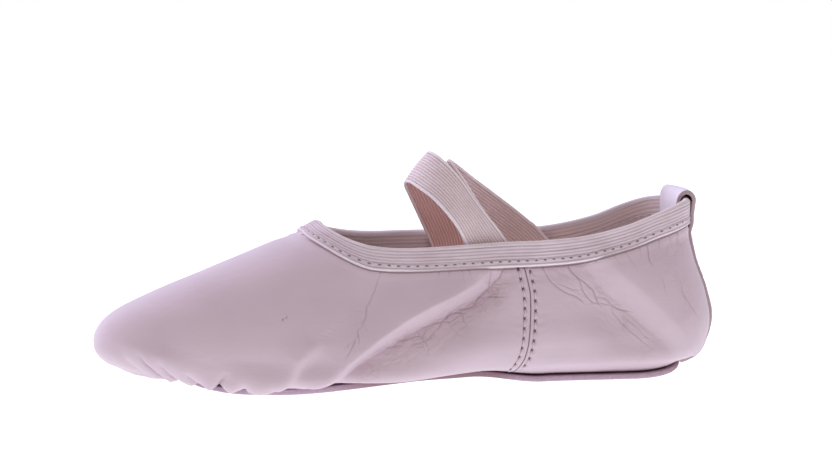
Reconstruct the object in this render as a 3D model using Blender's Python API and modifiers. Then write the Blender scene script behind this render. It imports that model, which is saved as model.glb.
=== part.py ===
"""Soft ballet slipper with a full leather sole, one shoe, straight lasted.

Built the way the real slipper is put together, each piece a closed solid of
its own:

  outsole        thin full sole with its arch and toe spring, flat at heel and ball
  insole         thin sock inside, over the turned-in edge of the upper
  upper          one hollow leather wall, open at the collar and underneath
  binding        elastic folded over the collar edge, its ends meeting at the back
  back_strip     leather strip over the heel seam, looped over the binding as a tab
  strap_over     elastic strap sewn inside the binding on both sides
  strap_under    the second strap, which passes inside the first

The toe points to -X, the heel to +X, and the floor is z = 0.
"Station" is the distance from the tip of the toe towards the heel.
"Turn" runs along the collar from 0 at the toe to 4 at the centre of the heel on
the -Y side: 1 is the ball, 2 the waist and 3 the start of the heel curve.
A negative turn is the same place on the +Y side.
"Drop" is the distance down the wall from the collar edge.
All lengths are in millimetres until a mesh is made.
"""
import math
from collections import namedtuple
from functools import lru_cache

import bmesh
import bpy
from mathutils import Vector

MM = 0.001
MERGE_DISTANCE = 0.00001    # metres

# --- driving dimensions ------------------------------------------------------
LENGTH = 205.0              # toe tip to the back of the heel strip
BALL_PIVOT = 84.0           # station that the toe sections fan out from
WAIST = 138.0               # station of the narrowest section
HEEL_PIVOT = 178.0          # station that the heel sections fan out from
HEEL_ROUNDNESS = 2.2        # exponent of the heel's plan curve, 2 is an ellipse

WALL = 1.3                  # leather and lining of the upper
SOLE_THICKNESS = 1.8
INSOLE_THICKNESS = 1.0
ELASTIC_THICKNESS = 0.8     # one layer of the binding
STRAP_THICKNESS = 1.0
STRAP_WIDTH = 12.7
STRIP_THICKNESS = 1.3
BINDING_DEPTH = 7.0         # how far each side of the binding reaches down
GAP = 0.3                   # clearance between pieces that touch
INSOLE_GAP = 0.5            # the insole bridges the uneven turned-in edge

TOE_SPRING_STATION = 46.0   # forward of here the sole curves up
TOE_SPRING_RATE = 0.0062    # millimetres of rise per square millimetre
HEEL_SPRING_STATION = 172.0  # behind here it curves up a little at the back
HEEL_SPRING_RATE = 0.008
ARCH_RISE = 3.0
ARCH_FRONT = (54.0, 104.0)   # stations where the arch starts and is fully raised
ARCH_REAR = (116.0, 141.0)  # stations where it starts to fall and is down again

# One row for each level of the wall, from the turned-in edge under the foot up
# to the collar. Each row gives the level's outline on one half: where it crosses
# the toe, its half width and height at the ball, at the waist and at the
# start of the heel, where it crosses the back, how square its toe is (2 is an
# ellipse) and how closely it follows the sole's arch and toe spring.
Level = namedtuple("Level", "toe toe_z ball ball_z waist waist_z side side_z back back_z round follow")
UNDERSIDE = SOLE_THICKNESS + GAP
LEVELS = (
    Level(43.0, UNDERSIDE, 15.0, UNDERSIDE, 8.0, UNDERSIDE, 12.0, UNDERSIDE, 184.0, UNDERSIDE, 2.10, 1.0),
    Level(31.0, UNDERSIDE, 25.0, UNDERSIDE, 15.5, UNDERSIDE, 18.0, UNDERSIDE, 192.0, UNDERSIDE, 2.10, 1.0),
    Level(8.4, 5.3, 31.5, 4.0, 22.5, 5.5, 23.0, 5.5, 199.0, 6.6, 2.20, 0.4),
    Level(0.0, 12.8, 34.5, 12.5, 26.5, 13.0, 25.0, 14.5, 203.4, 17.0, 2.30, 0.0),
    Level(2.5, 21.4, 33.5, 22.5, 27.0, 23.0, 24.5, 26.0, 200.8, 28.0, 2.25, 0.0),
    Level(14.6, 28.6, 31.0, 31.0, 26.5, 32.0, 23.0, 37.5, 196.8, 38.5, 2.15, 0.0),
    Level(42.0, 39.6, 28.5, 38.0, 25.0, 38.5, 21.0, 44.5, 194.9, 48.0, 2.05, 0.0),
    Level(70.0, 50.9, 25.5, 44.6, 24.0, 45.2, 19.5, 52.3, 195.2, 56.4, 2.00, 0.0),
)
# Height of the collar edge by station.
COLLAR = (
    (70.0, 50.9), (75.0, 47.8), (79.0, 46.1), (84.0, 44.8), (92.0, 44.0), (104.0, 44.1),
    (126.0, 45.0), (140.0, 45.2), (152.0, 46.0), (161.0, 47.4), (171.0, 49.9),
    (180.0, 53.2), (189.0, 55.9), (195.2, 56.4),
)

# Outlines of the flat pieces, in the same form as a level's outline.
Outline = namedtuple("Outline", "toe ball waist side back round")
OUTSOLE = Outline(28.8, 25.5, 18.5, 20.5, 192.5, 2.3)
INSOLE = Outline(34.0, 23.5, 14.0, 16.5, 190.5, 2.1)

# Fineness of the meshes: steps along the half collar between turns 0, 1, 2, 3 and 4,
# drops of the rows that binding and wall share, and steps down the wall from the
# binding's edge to the level two below the collar, and then from level to level.
TURN_STEPS = (14, 9, 7, 10)
BINDING_ROWS = (0.0, BINDING_DEPTH / 2, BINDING_DEPTH)
LEVEL_STEPS = (3, 2, 2, 2, 3, 1)
FLAT_COLUMNS = 2            # across half of the outsole or insole
STRIP_COLUMNS = 4           # across half of the heel strip
STRAP_COLUMNS = 4
STRAP_STEPS = 28
PROFILE_SAMPLES = 160       # points along the wall's profile when it is measured
PROFILE_REACH = 0.5         # distance along the wall over which its slope is taken
TURN_REACH = 0.02           # the same along the collar, in turns

BINDING_BACK_GAP = 1.0      # half the space between the binding's ends

# The leather strip at the heel: half width by drop, and the tab's loop as
# (outwards, upwards) from the collar edge to the middle of the leather.
Width = namedtuple("Width", "drop half")
STRIP_WIDTHS = (Width(-8.0, 10.6), Width(8.0, 9.8), Width(22.0, 7.0), Width(75.0, 6.0))
STRIP_FOOT = 57.0           # drop where the strip ends at the sole
STRIP_LAP = 3.0             # distance below the binding where the strip starts to lift
STRIP_INSIDE = (4.0, 9.0, 13.0)  # drops down the tab's end inside the shoe
TAB_LOOP = (
    (2.7, 0.0), (2.9, 1.3), (2.2, 2.9), (0.7, 4.0), (-1.1, 4.3), (-2.6, 3.6), (-3.4, 2.0), (-3.4, 0.0),
)

# Middle line of each strap between its two sewn ends, from the -Y side over to
# the +Y side, how far the strap leans back across its width and how far its heel
# edge is turned towards +Y, both in degrees.
Bend = namedtuple("Bend", "station across height lean turned")
# A strap's sewn end: the station where it passes the collar, how far it slants
# towards the heel for each millimetre down, and its clearance from the binding.
End = namedtuple("End", "station slant clear")
Strap = namedtuple("Strap", "name near far bends")
STRAP_END_DROP = 8.5        # how far down inside the binding a strap is sewn
STRAPS = (
    Strap("strap_over", End(122.2, 0.5, 1.1), End(119.3, 0.3, 0.5), (
        Bend(115.9, -18.5, 54.0, 15.0, 26.0),
        Bend(109.8, -14.5, 62.6, 35.0, 22.0),
        Bend(105.0, -8.0, 67.8, 48.0, 6.0),
        Bend(103.8, 0.0, 69.0, 52.0, 0.0),
        Bend(105.2, 7.5, 67.2, 48.0, 0.0),
        Bend(109.6, 14.0, 61.3, 30.0, 0.0),
        Bend(114.6, 18.8, 53.0, 12.0, 0.0),
    )),
    Strap("strap_under", End(121.8, 0.5, 2.5), End(143.8, 1.0, 1.4), (
        Bend(117.0, -16.2, 54.0, 13.0, 26.0),
        Bend(112.2, -11.6, 61.4, 35.0, 22.0),
        Bend(109.2, -5.2, 66.2, 47.0, 6.0),
        Bend(111.4, 2.0, 66.0, 45.0, 0.0),
        Bend(119.6, 9.5, 61.0, 34.0, 0.0),
        Bend(130.5, 15.5, 53.8, 22.0, 0.0),
    )),
)

# --- materials ---------------------------------------------------------------
Finish = namedtuple("Finish", "red green blue roughness")
LEATHER = Finish(0.580, 0.465, 0.520, 0.50)
SOLE_LEATHER = Finish(0.330, 0.250, 0.280, 0.75)
SOCK = Finish(0.420, 0.330, 0.330, 0.85)
ELASTIC = Finish(0.560, 0.440, 0.490, 0.80)


# --- curves ------------------------------------------------------------------
def smooth_through(place, knots, values):
    """Smooth curve through values at rising knots, read at one place."""
    last = len(knots) - 1
    here = 0
    while here < last - 1 and place > knots[here + 1]:
        here += 1
    slopes = []
    for end in (here, here + 1):
        before = max(end - 1, 0)
        after = min(end + 1, last)
        slopes.append((values[after] - values[before]) / (knots[after] - knots[before]))
    step = knots[here + 1] - knots[here]
    t = min(max((place - knots[here]) / step, 0.0), 1.0)
    return (
        values[here] * (2 * t**3 - 3 * t**2 + 1)
        + slopes[0] * (step * (t**3 - 2 * t**2 + t))
        + values[here + 1] * (3 * t**2 - 2 * t**3)
        + slopes[1] * (step * (t**3 - t**2))
    )


def ease(t):
    """Smooth step from 0 to 1."""
    t = min(max(t, 0.0), 1.0)
    return t * t * (3 - 2 * t)


def ground(station):
    """Height of the sole's underside: flat at ball and heel, raised at arch, toe and back."""
    spring = TOE_SPRING_RATE * max(TOE_SPRING_STATION - station, 0.0) ** 2
    spring += HEEL_SPRING_RATE * max(station - HEEL_SPRING_STATION, 0.0) ** 2
    front = ease((station - ARCH_FRONT[0]) / (ARCH_FRONT[1] - ARCH_FRONT[0]))
    rear = ease((ARCH_REAR[1] - station) / (ARCH_REAR[1] - ARCH_REAR[0]))
    return spring + ARCH_RISE * front * rear


def superellipse(angle, across, along, exponent):
    """Distance from the centre to a superellipse at an angle from its long axis."""
    sine = abs(math.sin(angle)) / across
    cosine = abs(math.cos(angle)) / along
    return (cosine**exponent + sine**exponent) ** (-1 / exponent)


def plan_point(turn, outline):
    """(station, half width) of an outline at a turn from 0 to 4."""
    if turn <= 1:
        angle = turn * math.pi / 2
        reach = superellipse(angle, outline.ball, BALL_PIVOT - outline.toe, outline.round)
        return BALL_PIVOT - reach * math.cos(angle), reach * math.sin(angle)
    if turn >= 3:
        angle = (4 - turn) * math.pi / 2
        reach = superellipse(angle, outline.side, outline.back - HEEL_PIVOT, HEEL_ROUNDNESS)
        return HEEL_PIVOT + reach * math.cos(angle), reach * math.sin(angle)
    stations = (BALL_PIVOT, WAIST, HEEL_PIVOT)
    station = smooth_through(turn, (1, 2, 3), stations)
    padded = (2 * BALL_PIVOT - WAIST, *stations, 2 * HEEL_PIVOT - WAIST)
    widths = (outline.waist, outline.ball, outline.waist, outline.side, outline.waist)
    return station, smooth_through(station, padded, widths)


def level_height(turn, level):
    """Height of one level at a turn, before it follows the ground."""
    heights = (level.toe_z, level.ball_z, level.waist_z, level.side_z, level.back_z)
    padded = (heights[1], *heights, heights[-2])
    return smooth_through(turn, range(-1, 6), padded)


def level_point(turn, level):
    """Point of the wall's outer face where a level crosses a turn from 0 to 4."""
    station, half = plan_point(turn, level)
    if level is LEVELS[-1]:
        height = smooth_through(station, *zip(*COLLAR))
    else:
        height = level_height(turn, level) + level.follow * ground(max(station, OUTSOLE.toe))
    return Vector((station - LENGTH / 2, -half, height))


# The wall's outer face at one turn, from the collar to the turned-in edge: drops
# and points along it, and the drops of its levels.
Profile = namedtuple("Profile", "drops points marks")


@lru_cache(maxsize=None)
def wall_profile(turn):
    knots = [level_point(turn, level) for level in reversed(LEVELS)]
    spans = [0.0]
    for above, below in zip(knots, knots[1:]):
        spans.append(spans[-1] + (below - above).length)
    step = spans[-1] / PROFILE_SAMPLES
    points = [smooth_through(step * i, spans, knots) for i in range(PROFILE_SAMPLES + 1)]
    for point in points:
        point.z = max(point.z, UNDERSIDE + ground(max(point.x + LENGTH / 2, OUTSOLE.toe)))
    drops = [0.0]
    for above, below in zip(points, points[1:]):
        drops.append(drops[-1] + (below - above).length)
    marks = [drops[round(span / step)] for span in spans]
    return Profile(drops, points, marks)


def wall_point(turn, drop):
    """Point of the wall's outer face; past the heel's centre, turn 4, it is on the +Y side."""
    if turn > 4:
        turn -= 8
    drops, points, _ = wall_profile(abs(turn))
    here = 0
    while here < len(drops) - 2 and drops[here + 1] < drop:
        here += 1
    t = (drop - drops[here]) / (drops[here + 1] - drops[here])
    point = points[here].lerp(points[here + 1], t)
    if turn < 0:
        point.y = -point.y
    return point


def wall_frame(turn, drop):
    """Unit vectors outwards from the wall and up it."""
    above = max(drop - PROFILE_REACH, 0.0)
    down = wall_point(turn, drop + PROFILE_REACH) - wall_point(turn, above)
    along = wall_point(turn + TURN_REACH, drop) - wall_point(turn - TURN_REACH, drop)
    return down.cross(along).normalized(), -down.normalized()


def off_wall(turn, drop, out, up=0.0):
    """Point a distance outwards and upwards from a place on the wall's outer face."""
    outwards, upwards = wall_frame(turn, drop)
    return wall_point(turn, drop) + outwards * out + upwards * up


def collar_turn(station):
    """Turn at which the collar passes a station, between ball and heel."""
    low, high = 0.0, 4.0
    while high - low > 1e-6:
        middle = (low + high) / 2
        if plan_point(middle, LEVELS[-1])[0] < station:
            low = middle
        else:
            high = middle
    return low


def heel_turns(distance):
    """Distance along the collar at the heel, as turns."""
    return distance / LEVELS[-1].side * 2 / math.pi


def half_turns(last=4.0):
    """Turns of the mesh's columns along the half collar, from 0 to the last."""
    turns = []
    for quarter, count in enumerate(TURN_STEPS):
        turns.extend(quarter + i / count for i in range(count))
    return [turn for turn in turns if turn < last - TURN_REACH] + [last]


# --- making objects ----------------------------------------------------------
def material(name, finish):
    made = bpy.data.materials.new(name)
    made.use_nodes = True
    shader = made.node_tree.nodes["Principled BSDF"]
    shader.inputs["Base Color"].default_value = (finish.red, finish.green, finish.blue, 1.0)
    shader.inputs["Roughness"].default_value = finish.roughness
    shader.inputs["Metallic"].default_value = 0.0
    return made


def sheet(name, rows, finish, collection):
    """Open surface through rows of points in millimetres, coinciding points joined."""
    mesh = bmesh.new()
    grid = [[mesh.verts.new(point * MM) for point in row] for row in rows]
    for row, after in zip(grid, grid[1:]):
        for i in range(len(row) - 1):
            mesh.faces.new((row[i], row[i + 1], after[i + 1], after[i]))
    bmesh.ops.remove_doubles(mesh, verts=mesh.verts, dist=MERGE_DISTANCE)
    data = bpy.data.meshes.new(name)
    mesh.to_mesh(data)
    mesh.free()
    data.shade_smooth()
    data.materials.append(material(name + "_finish", finish))
    made = bpy.data.objects.new(name, data)
    collection.objects.link(made)
    return made


def mirror_across(piece):
    mirror = piece.modifiers.new("other_half", "MIRROR")
    mirror.use_axis = (False, True, False)
    mirror.merge_threshold = MERGE_DISTANCE


def thicken(piece, thickness, offset):
    """Give an open surface a thickness: offset 1 is outwards, -1 inwards, 0 both ways."""
    solid = piece.modifiers.new("thickness", "SOLIDIFY")
    solid.thickness = thickness * MM
    solid.offset = offset
    solid.use_even_offset = True


# --- the pieces --------------------------------------------------------------
def wall_drops(turn):
    """Drops of the upper's rows: the collar, the binding's edge, then steps between levels."""
    marks = wall_profile(turn).marks
    drops = list(BINDING_ROWS)
    for mark, steps in zip(marks[2:], LEVEL_STEPS):
        above = drops[-1]
        drops.extend(above + (mark - above) * (i + 1) / steps for i in range(steps))
    return drops


def make_upper(collection):
    rows = [[wall_point(turn, drop) for drop in wall_drops(turn)] for turn in half_turns()]
    upper = sheet("upper", rows, LEATHER, collection)
    mirror_across(upper)
    thicken(upper, WALL, -1)


def flat_piece(name, outline, underside, thickness, finish, collection):
    """Thin piece with a level's outline, following the sole's arch and toe spring."""
    rows = []
    for turn in half_turns():
        station, half = plan_point(turn, outline)
        height = underside + ground(station)
        widths = [half * i / FLAT_COLUMNS for i in range(FLAT_COLUMNS + 1)]
        rows.append([Vector((station - LENGTH / 2, -width, height)) for width in widths])
    piece = sheet(name, rows, finish, collection)
    mirror_across(piece)
    thicken(piece, thickness, 1)


def make_binding(collection):
    inside = -(WALL + GAP)
    back = 4.0 - heel_turns(BINDING_BACK_GAP)
    rows = []
    for turn in half_turns(back):
        row = [off_wall(turn, drop, inside) for drop in reversed(BINDING_ROWS)]
        row.append(off_wall(turn, 0.0, inside, GAP))
        row.append(off_wall(turn, 0.0, GAP, GAP))
        row.extend(off_wall(turn, drop, GAP) for drop in BINDING_ROWS)
        rows.append(row)
    binding = sheet("binding", rows, ELASTIC, collection)
    mirror_across(binding)
    thicken(binding, ELASTIC_THICKNESS, 1)


def strip_half_width(drop):
    return smooth_through(drop, *zip(*STRIP_WIDTHS))


def make_back_strip(collection):
    """Leather strip up the heel, over the binding as a loop and down inside."""
    middle = STRIP_THICKNESS / 2
    on_leather = GAP + middle
    on_binding = 2 * GAP + ELASTIC_THICKNESS + middle
    inside = -(WALL + on_binding)
    lift = BINDING_DEPTH + STRIP_LAP
    path = [(drop, on_leather, 0.0) for drop in reversed(wall_drops(4.0)) if lift < drop < STRIP_FOOT]
    path.append((lift, on_leather + GAP / 2, 0.0))
    path.extend((drop, on_binding, 0.0) for drop in (BINDING_DEPTH, BINDING_DEPTH / 2))
    path.extend((0.0, out, up) for out, up in TAB_LOOP)
    path.extend((drop, inside, 0.0) for drop in STRIP_INSIDE)
    rows = []
    for drop, out, up in path:
        reach = heel_turns(strip_half_width(drop - up))
        turns = [4.0 - reach * (1 - i / STRIP_COLUMNS) for i in range(STRIP_COLUMNS + 1)]
        rows.append([off_wall(turn, drop, out, up) for turn in turns])
    strip = sheet("back_strip", rows, LEATHER, collection)
    mirror_across(strip)
    thicken(strip, STRIP_THICKNESS, 0)


def strap_end(end, side):
    """Middle points and widthwise directions of a strap's sewn end, from its tip upwards."""
    inset = -(WALL + GAP + ELASTIC_THICKNESS + end.clear + STRAP_THICKNESS / 2)
    frames = []
    for drop in (STRAP_END_DROP, STRAP_END_DROP / 2, 0.0):
        turn = side * collar_turn(end.station + end.slant * drop)
        ahead, behind = wall_point(turn + TURN_REACH, drop), wall_point(turn - TURN_REACH, drop)
        heelwards = (ahead - behind) * side
        frames.append((off_wall(turn, drop, inset), heelwards.normalized()))
    return frames


def strap_frames(strap):
    """Middle points of a strap and the directions across its width."""
    free = []
    for bend in strap.bends:
        lean, turned = math.radians(bend.lean), math.radians(bend.turned)
        across = Vector((math.cos(lean), math.tan(turned), math.sin(lean))).normalized()
        free.append((Vector((bend.station - LENGTH / 2, bend.across, bend.height)), across))
    return strap_end(strap.near, 1) + free + strap_end(strap.far, -1)[::-1]


def make_strap(strap, collection):
    frames = strap_frames(strap)
    points, directions = zip(*frames)
    knots = [0.0]
    for here, after in zip(points, points[1:]):
        knots.append(knots[-1] + (after - here).length)
    rows = []
    for i in range(STRAP_STEPS + 1):
        place = knots[-1] * i / STRAP_STEPS
        ahead = smooth_through(min(place + PROFILE_REACH, knots[-1]), knots, points)
        behind = smooth_through(max(place - PROFILE_REACH, 0.0), knots, points)
        along = (ahead - behind).normalized()
        across = smooth_through(place, knots, directions)
        across = (across - along * across.dot(along)).normalized() * STRAP_WIDTH
        middle = smooth_through(place, knots, points)
        rows.append([middle + across * (j / STRAP_COLUMNS - 0.5) for j in range(STRAP_COLUMNS + 1)])
    made = sheet(strap.name, rows, ELASTIC, collection)
    thicken(made, STRAP_THICKNESS, 0)


def main():
    for item in list(bpy.data.objects):
        bpy.data.objects.remove(item, do_unlink=True)
    collection = bpy.data.collections.new("ballet_slipper")
    bpy.context.scene.collection.children.link(collection)
    make_upper(collection)
    flat_piece("outsole", OUTSOLE, 0.0, SOLE_THICKNESS, SOLE_LEATHER, collection)
    insole_height = UNDERSIDE + WALL + INSOLE_GAP
    flat_piece("insole", INSOLE, insole_height, INSOLE_THICKNESS, SOCK, collection)
    make_binding(collection)
    make_back_strip(collection)
    for strap in STRAPS:
        make_strap(strap, collection)


main()
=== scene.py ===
"""Looks of the soft ballet slipper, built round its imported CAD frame.

Every piece follows the same wall, sole and strap curves as the CAD solids, with the
creases, pleats, ribs, stitches and raw edges that the plain solids leave out.

The toe points to -X, the heel to +X, and the floor is z = 0.
"Station" is the distance from the tip of the toe towards the heel.
"Turn" runs along the collar from 0 at the toe to 4 at the centre of the heel on
the -Y side, the near side: 1 is the ball, 2 the waist and 3 the start of the heel.
A negative turn is the same place on the +Y side, the far side.
"Drop" is the distance down the wall from the collar edge.
"Relief" is how far a surface stands out from the plain wall.
All lengths are in millimetres until a mesh is made.
"""
import math
from collections import namedtuple

import bmesh
import bpy
import numpy as np
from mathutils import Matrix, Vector


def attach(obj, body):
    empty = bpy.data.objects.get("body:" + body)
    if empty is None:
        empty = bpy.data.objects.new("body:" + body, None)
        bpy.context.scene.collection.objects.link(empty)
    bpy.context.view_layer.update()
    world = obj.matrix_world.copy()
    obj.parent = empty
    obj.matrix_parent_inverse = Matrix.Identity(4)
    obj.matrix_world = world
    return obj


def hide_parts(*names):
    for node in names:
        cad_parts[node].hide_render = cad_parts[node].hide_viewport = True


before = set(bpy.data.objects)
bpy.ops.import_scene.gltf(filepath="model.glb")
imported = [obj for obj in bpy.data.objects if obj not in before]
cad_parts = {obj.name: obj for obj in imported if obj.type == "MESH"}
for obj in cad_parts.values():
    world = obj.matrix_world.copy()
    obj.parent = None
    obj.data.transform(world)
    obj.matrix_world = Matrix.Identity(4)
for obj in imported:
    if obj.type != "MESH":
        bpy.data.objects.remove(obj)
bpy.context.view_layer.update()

MM = 0.001
BODY = "root"

# --- the CAD's driving dimensions ---
LENGTH = 205  # toe tip to the back of the heel strip
BALL_PIVOT = 84  # station that the toe sections fan out from
WAIST = 138  # station of the narrowest section
HEEL_PIVOT = 178  # station that the heel sections fan out from
HEEL_ROUNDNESS = 2.2  # exponent of the heel's plan curve, 2 is an ellipse
WALL = 1.3  # leather and lining of the upper
SOLE_THICKNESS = 1.8
INSOLE_THICKNESS = 1
STRAP_THICKNESS = 1
STRAP_WIDTH = 12.7
STRIP_THICKNESS = 1.3
BINDING_DEPTH = 7  # how far each side of the binding reaches down
GAP = 0.3  # clearance between CAD pieces that touch
INSOLE_GAP = 0.5
TOE_SPRING_STATION = 46
TOE_SPRING_RATE = 0.0062
HEEL_SPRING_STATION = 172
HEEL_SPRING_RATE = 0.008
ARCH_RISE = 3
ARCH_FRONT = (54, 104)
ARCH_REAR = (116, 141)

# One row for each level of the wall, from the turned-in edge under the foot up
# to the collar: where its outline crosses the toe, its half width and height at
# the ball, at the waist and at the start of the heel, where it crosses the back,
# how square its toe is and how closely it follows the sole's springs and arch.
Level = namedtuple("Level", "toe toe_z ball ball_z waist waist_z side side_z back back_z round follow")
UNDERSIDE = SOLE_THICKNESS + GAP
LEVELS = (
    Level(43, UNDERSIDE, 15, UNDERSIDE, 8, UNDERSIDE, 12, UNDERSIDE, 184, UNDERSIDE, 2.1, 1),
    Level(31, UNDERSIDE, 25, UNDERSIDE, 15.5, UNDERSIDE, 18, UNDERSIDE, 192, UNDERSIDE, 2.1, 1),
    Level(8.4, 5.3, 31.5, 4, 22.5, 5.5, 23, 5.5, 199, 6.6, 2.2, 0.4),
    Level(0, 12.8, 34.5, 12.5, 26.5, 13, 25, 14.5, 203.4, 17, 2.3, 0),
    Level(2.5, 21.4, 33.5, 22.5, 27, 23, 24.5, 26, 200.8, 28, 2.25, 0),
    Level(14.6, 28.6, 31, 31, 26.5, 32, 23, 37.5, 196.8, 38.5, 2.15, 0),
    Level(42, 39.6, 28.5, 38, 25, 38.5, 21, 44.5, 194.9, 48, 2.05, 0),
    Level(70, 50.9, 25.5, 44.6, 24, 45.2, 19.5, 52.3, 195.2, 56.4, 2.00, 0),
)
SOLE_EDGE_LEVEL = 1  # level where the wall turns in under the foot
WIDEST_LEVEL = 3
COLLAR = (
    (70, 50.9), (75, 47.8), (79, 46.1), (84, 44.8), (92, 44), (104, 44.1), (126, 45), (140, 45.2),
    (152, 46), (161, 47.4), (171, 49.9), (180, 53.2), (189, 55.9), (195.2, 56.4),
)
Outline = namedtuple("Outline", "toe ball waist side back round")
OUTSOLE = Outline(28.8, 25.5, 18.5, 20.5, 192.5, 2.3)
INSOLE = Outline(34, 23.5, 14, 16.5, 190.5, 2.1)

Width = namedtuple("Width", "drop half")
STRIP_WIDTHS = (Width(-8, 10.6), Width(8, 9.8), Width(22, 7), Width(75, 6))
STRIP_FOOT = 57
STRIP_LAP = 3
STRIP_INSIDE = (4, 9, 13)
TAB_LOOP = (
    (1.9, 0), (2, 1.2), (1.7, 2.5), (0.8, 3.6), (-0.4, 4.1), (-1.6, 3.6), (-2.6, 2.2), (-3.05, 0),
)
TAB_LOOP_SHADE = 0.8  # how dark the painted shade inside the loop is
TAB_TILT = 0.14  # how much higher the loop's far end stands, as a share

Bend = namedtuple("Bend", "station across height lean turned")
End = namedtuple("End", "station slant clear")
Strap = namedtuple("Strap", "name near far warmth bends")  # its fourth column is how much painted bounced light tints its inner face
STRAP_END_DROP = 8.5
STRAPS = (
    Strap("strap_over", End(122.2, 0.5, 1.1), End(119.3, 0.3, 0.5), 1, (
        Bend(115.9, -18.5, 54, 15, 26),
        Bend(109.8, -14.5, 62.6, 35, 22),
        Bend(105, -8, 67.8, 48, 6),
        Bend(103.8, 0, 69, 52, 0),
        Bend(105.2, 7.5, 67.2, 48, 0),
        Bend(109.6, 14, 61.3, 30, 0),
        Bend(114.6, 18.8, 53, 12, 0),
    )),
    Strap("strap_under", End(121.8, 0.5, 2.5), End(143.8, 1, 1.4), 0.25, (
        Bend(117, -16.2, 54, 13, 26),
        Bend(112.2, -11.6, 61.4, 35, 22),
        Bend(109.2, -5.2, 66.2, 47, 6),
        Bend(111.4, 2, 66, 45, 0),
        Bend(119.6, 9.5, 61, 34, 0),
        Bend(130.5, 15.5, 53.8, 22, 0),
    )),
)
PROFILE_SAMPLES = 160
PROFILE_REACH = 0.5  # steps down and along the wall over which its direction is taken
TURN_REACH = 0.02

# --- the looks' own dimensions ---
# Folds of the near side, where the leather above hangs over the leather below.
# Crest points are (station, height, rise, fall): the relief rises to the rounded crest
# over the distance above, drops within the fall to a hollow, a share of the rise deep,
# and recovers over the distance below. A soft fold's slope starts and ends gently.
# The far side has the same folds, moved.
Fold = namedtuple("Fold", "above below hollow softness rounding crest")
FOLDS = (
    Fold(9, 6.5, 0.8, 0, 1.6, (
        (60, 2, 0.5, 2.8), (68.7, 7.6, 1.9, 3.2), (76.1, 13.1, 2.8, 3.6), (83.8, 18.3, 3.2, 4),
        (91.9, 23.2, 3.4, 4.4), (100.1, 26.9, 3.5, 4.6), (108.5, 30.2, 3.4, 4.7), (113.6, 32.6, 3, 4.7),
        (118, 35.2, 2.3, 4.6), (121, 38, 1, 4.6),
    )),
    Fold(4.5, 5, 0.7, 0, 1.6, (
        (53, 4.6, 0.8, 2.6), (56.2, 8.4, 1.5, 2.9), (59.2, 12, 1.8, 3), (62, 15, 1.3, 3),
        (65, 17.6, 0.4, 3),
    )),
    Fold(9, 9, 0.85, 1, 6, (
        (157.4, 43.1, 1.1, 7.2), (165, 35.5, 1.9, 7.8), (174.4, 27.5, 2.1, 8.2), (184.4, 18.3, 1.7, 7.8),
        (191.4, 9.1, 0.6, 7.2),
    )),
)
FOLD_SHARPNESS = 1.3  # how much steeper a hard fold gets towards its hollow
FOLD_AT_SOLE = 0.4  # shares of a fold that are left at the sole and at a side seam
FOLD_AT_SEAM = 0.25
# Soft hollows (rise below 0) and swellings: centre, radii along and up, turned by
# an angle in degrees, and rise.
Swell = namedtuple("Swell", "station height long wide angle rise")
SWELLS = (
    Swell(105, 11, 22, 5.5, 10, 1.5), Swell(22, 11.5, 14, 3, -22, 1.2), Swell(46, 8.5, 12, 2.8, -6, 1.1),
    Swell(122.8, 33.5, 2.6, 5, 0, -1.1), Swell(118.5, 30.5, 9, 4, 33, -1.5),
    Swell(99, 36, 18, 3.5, 12, -0.35), Swell(78, 27, 14, 3.5, 40, -0.4), Swell(68, 12, 5, 3, 30, -0.5),
    Swell(160, 21, 13, 6, -46, -1.4), Swell(188, 28, 12, 4, -70, 0.4), Swell(184, 40, 5, 3, -70, -0.4),
    Swell(150, 15, 14, 6, -12, 0.9),
)
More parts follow.
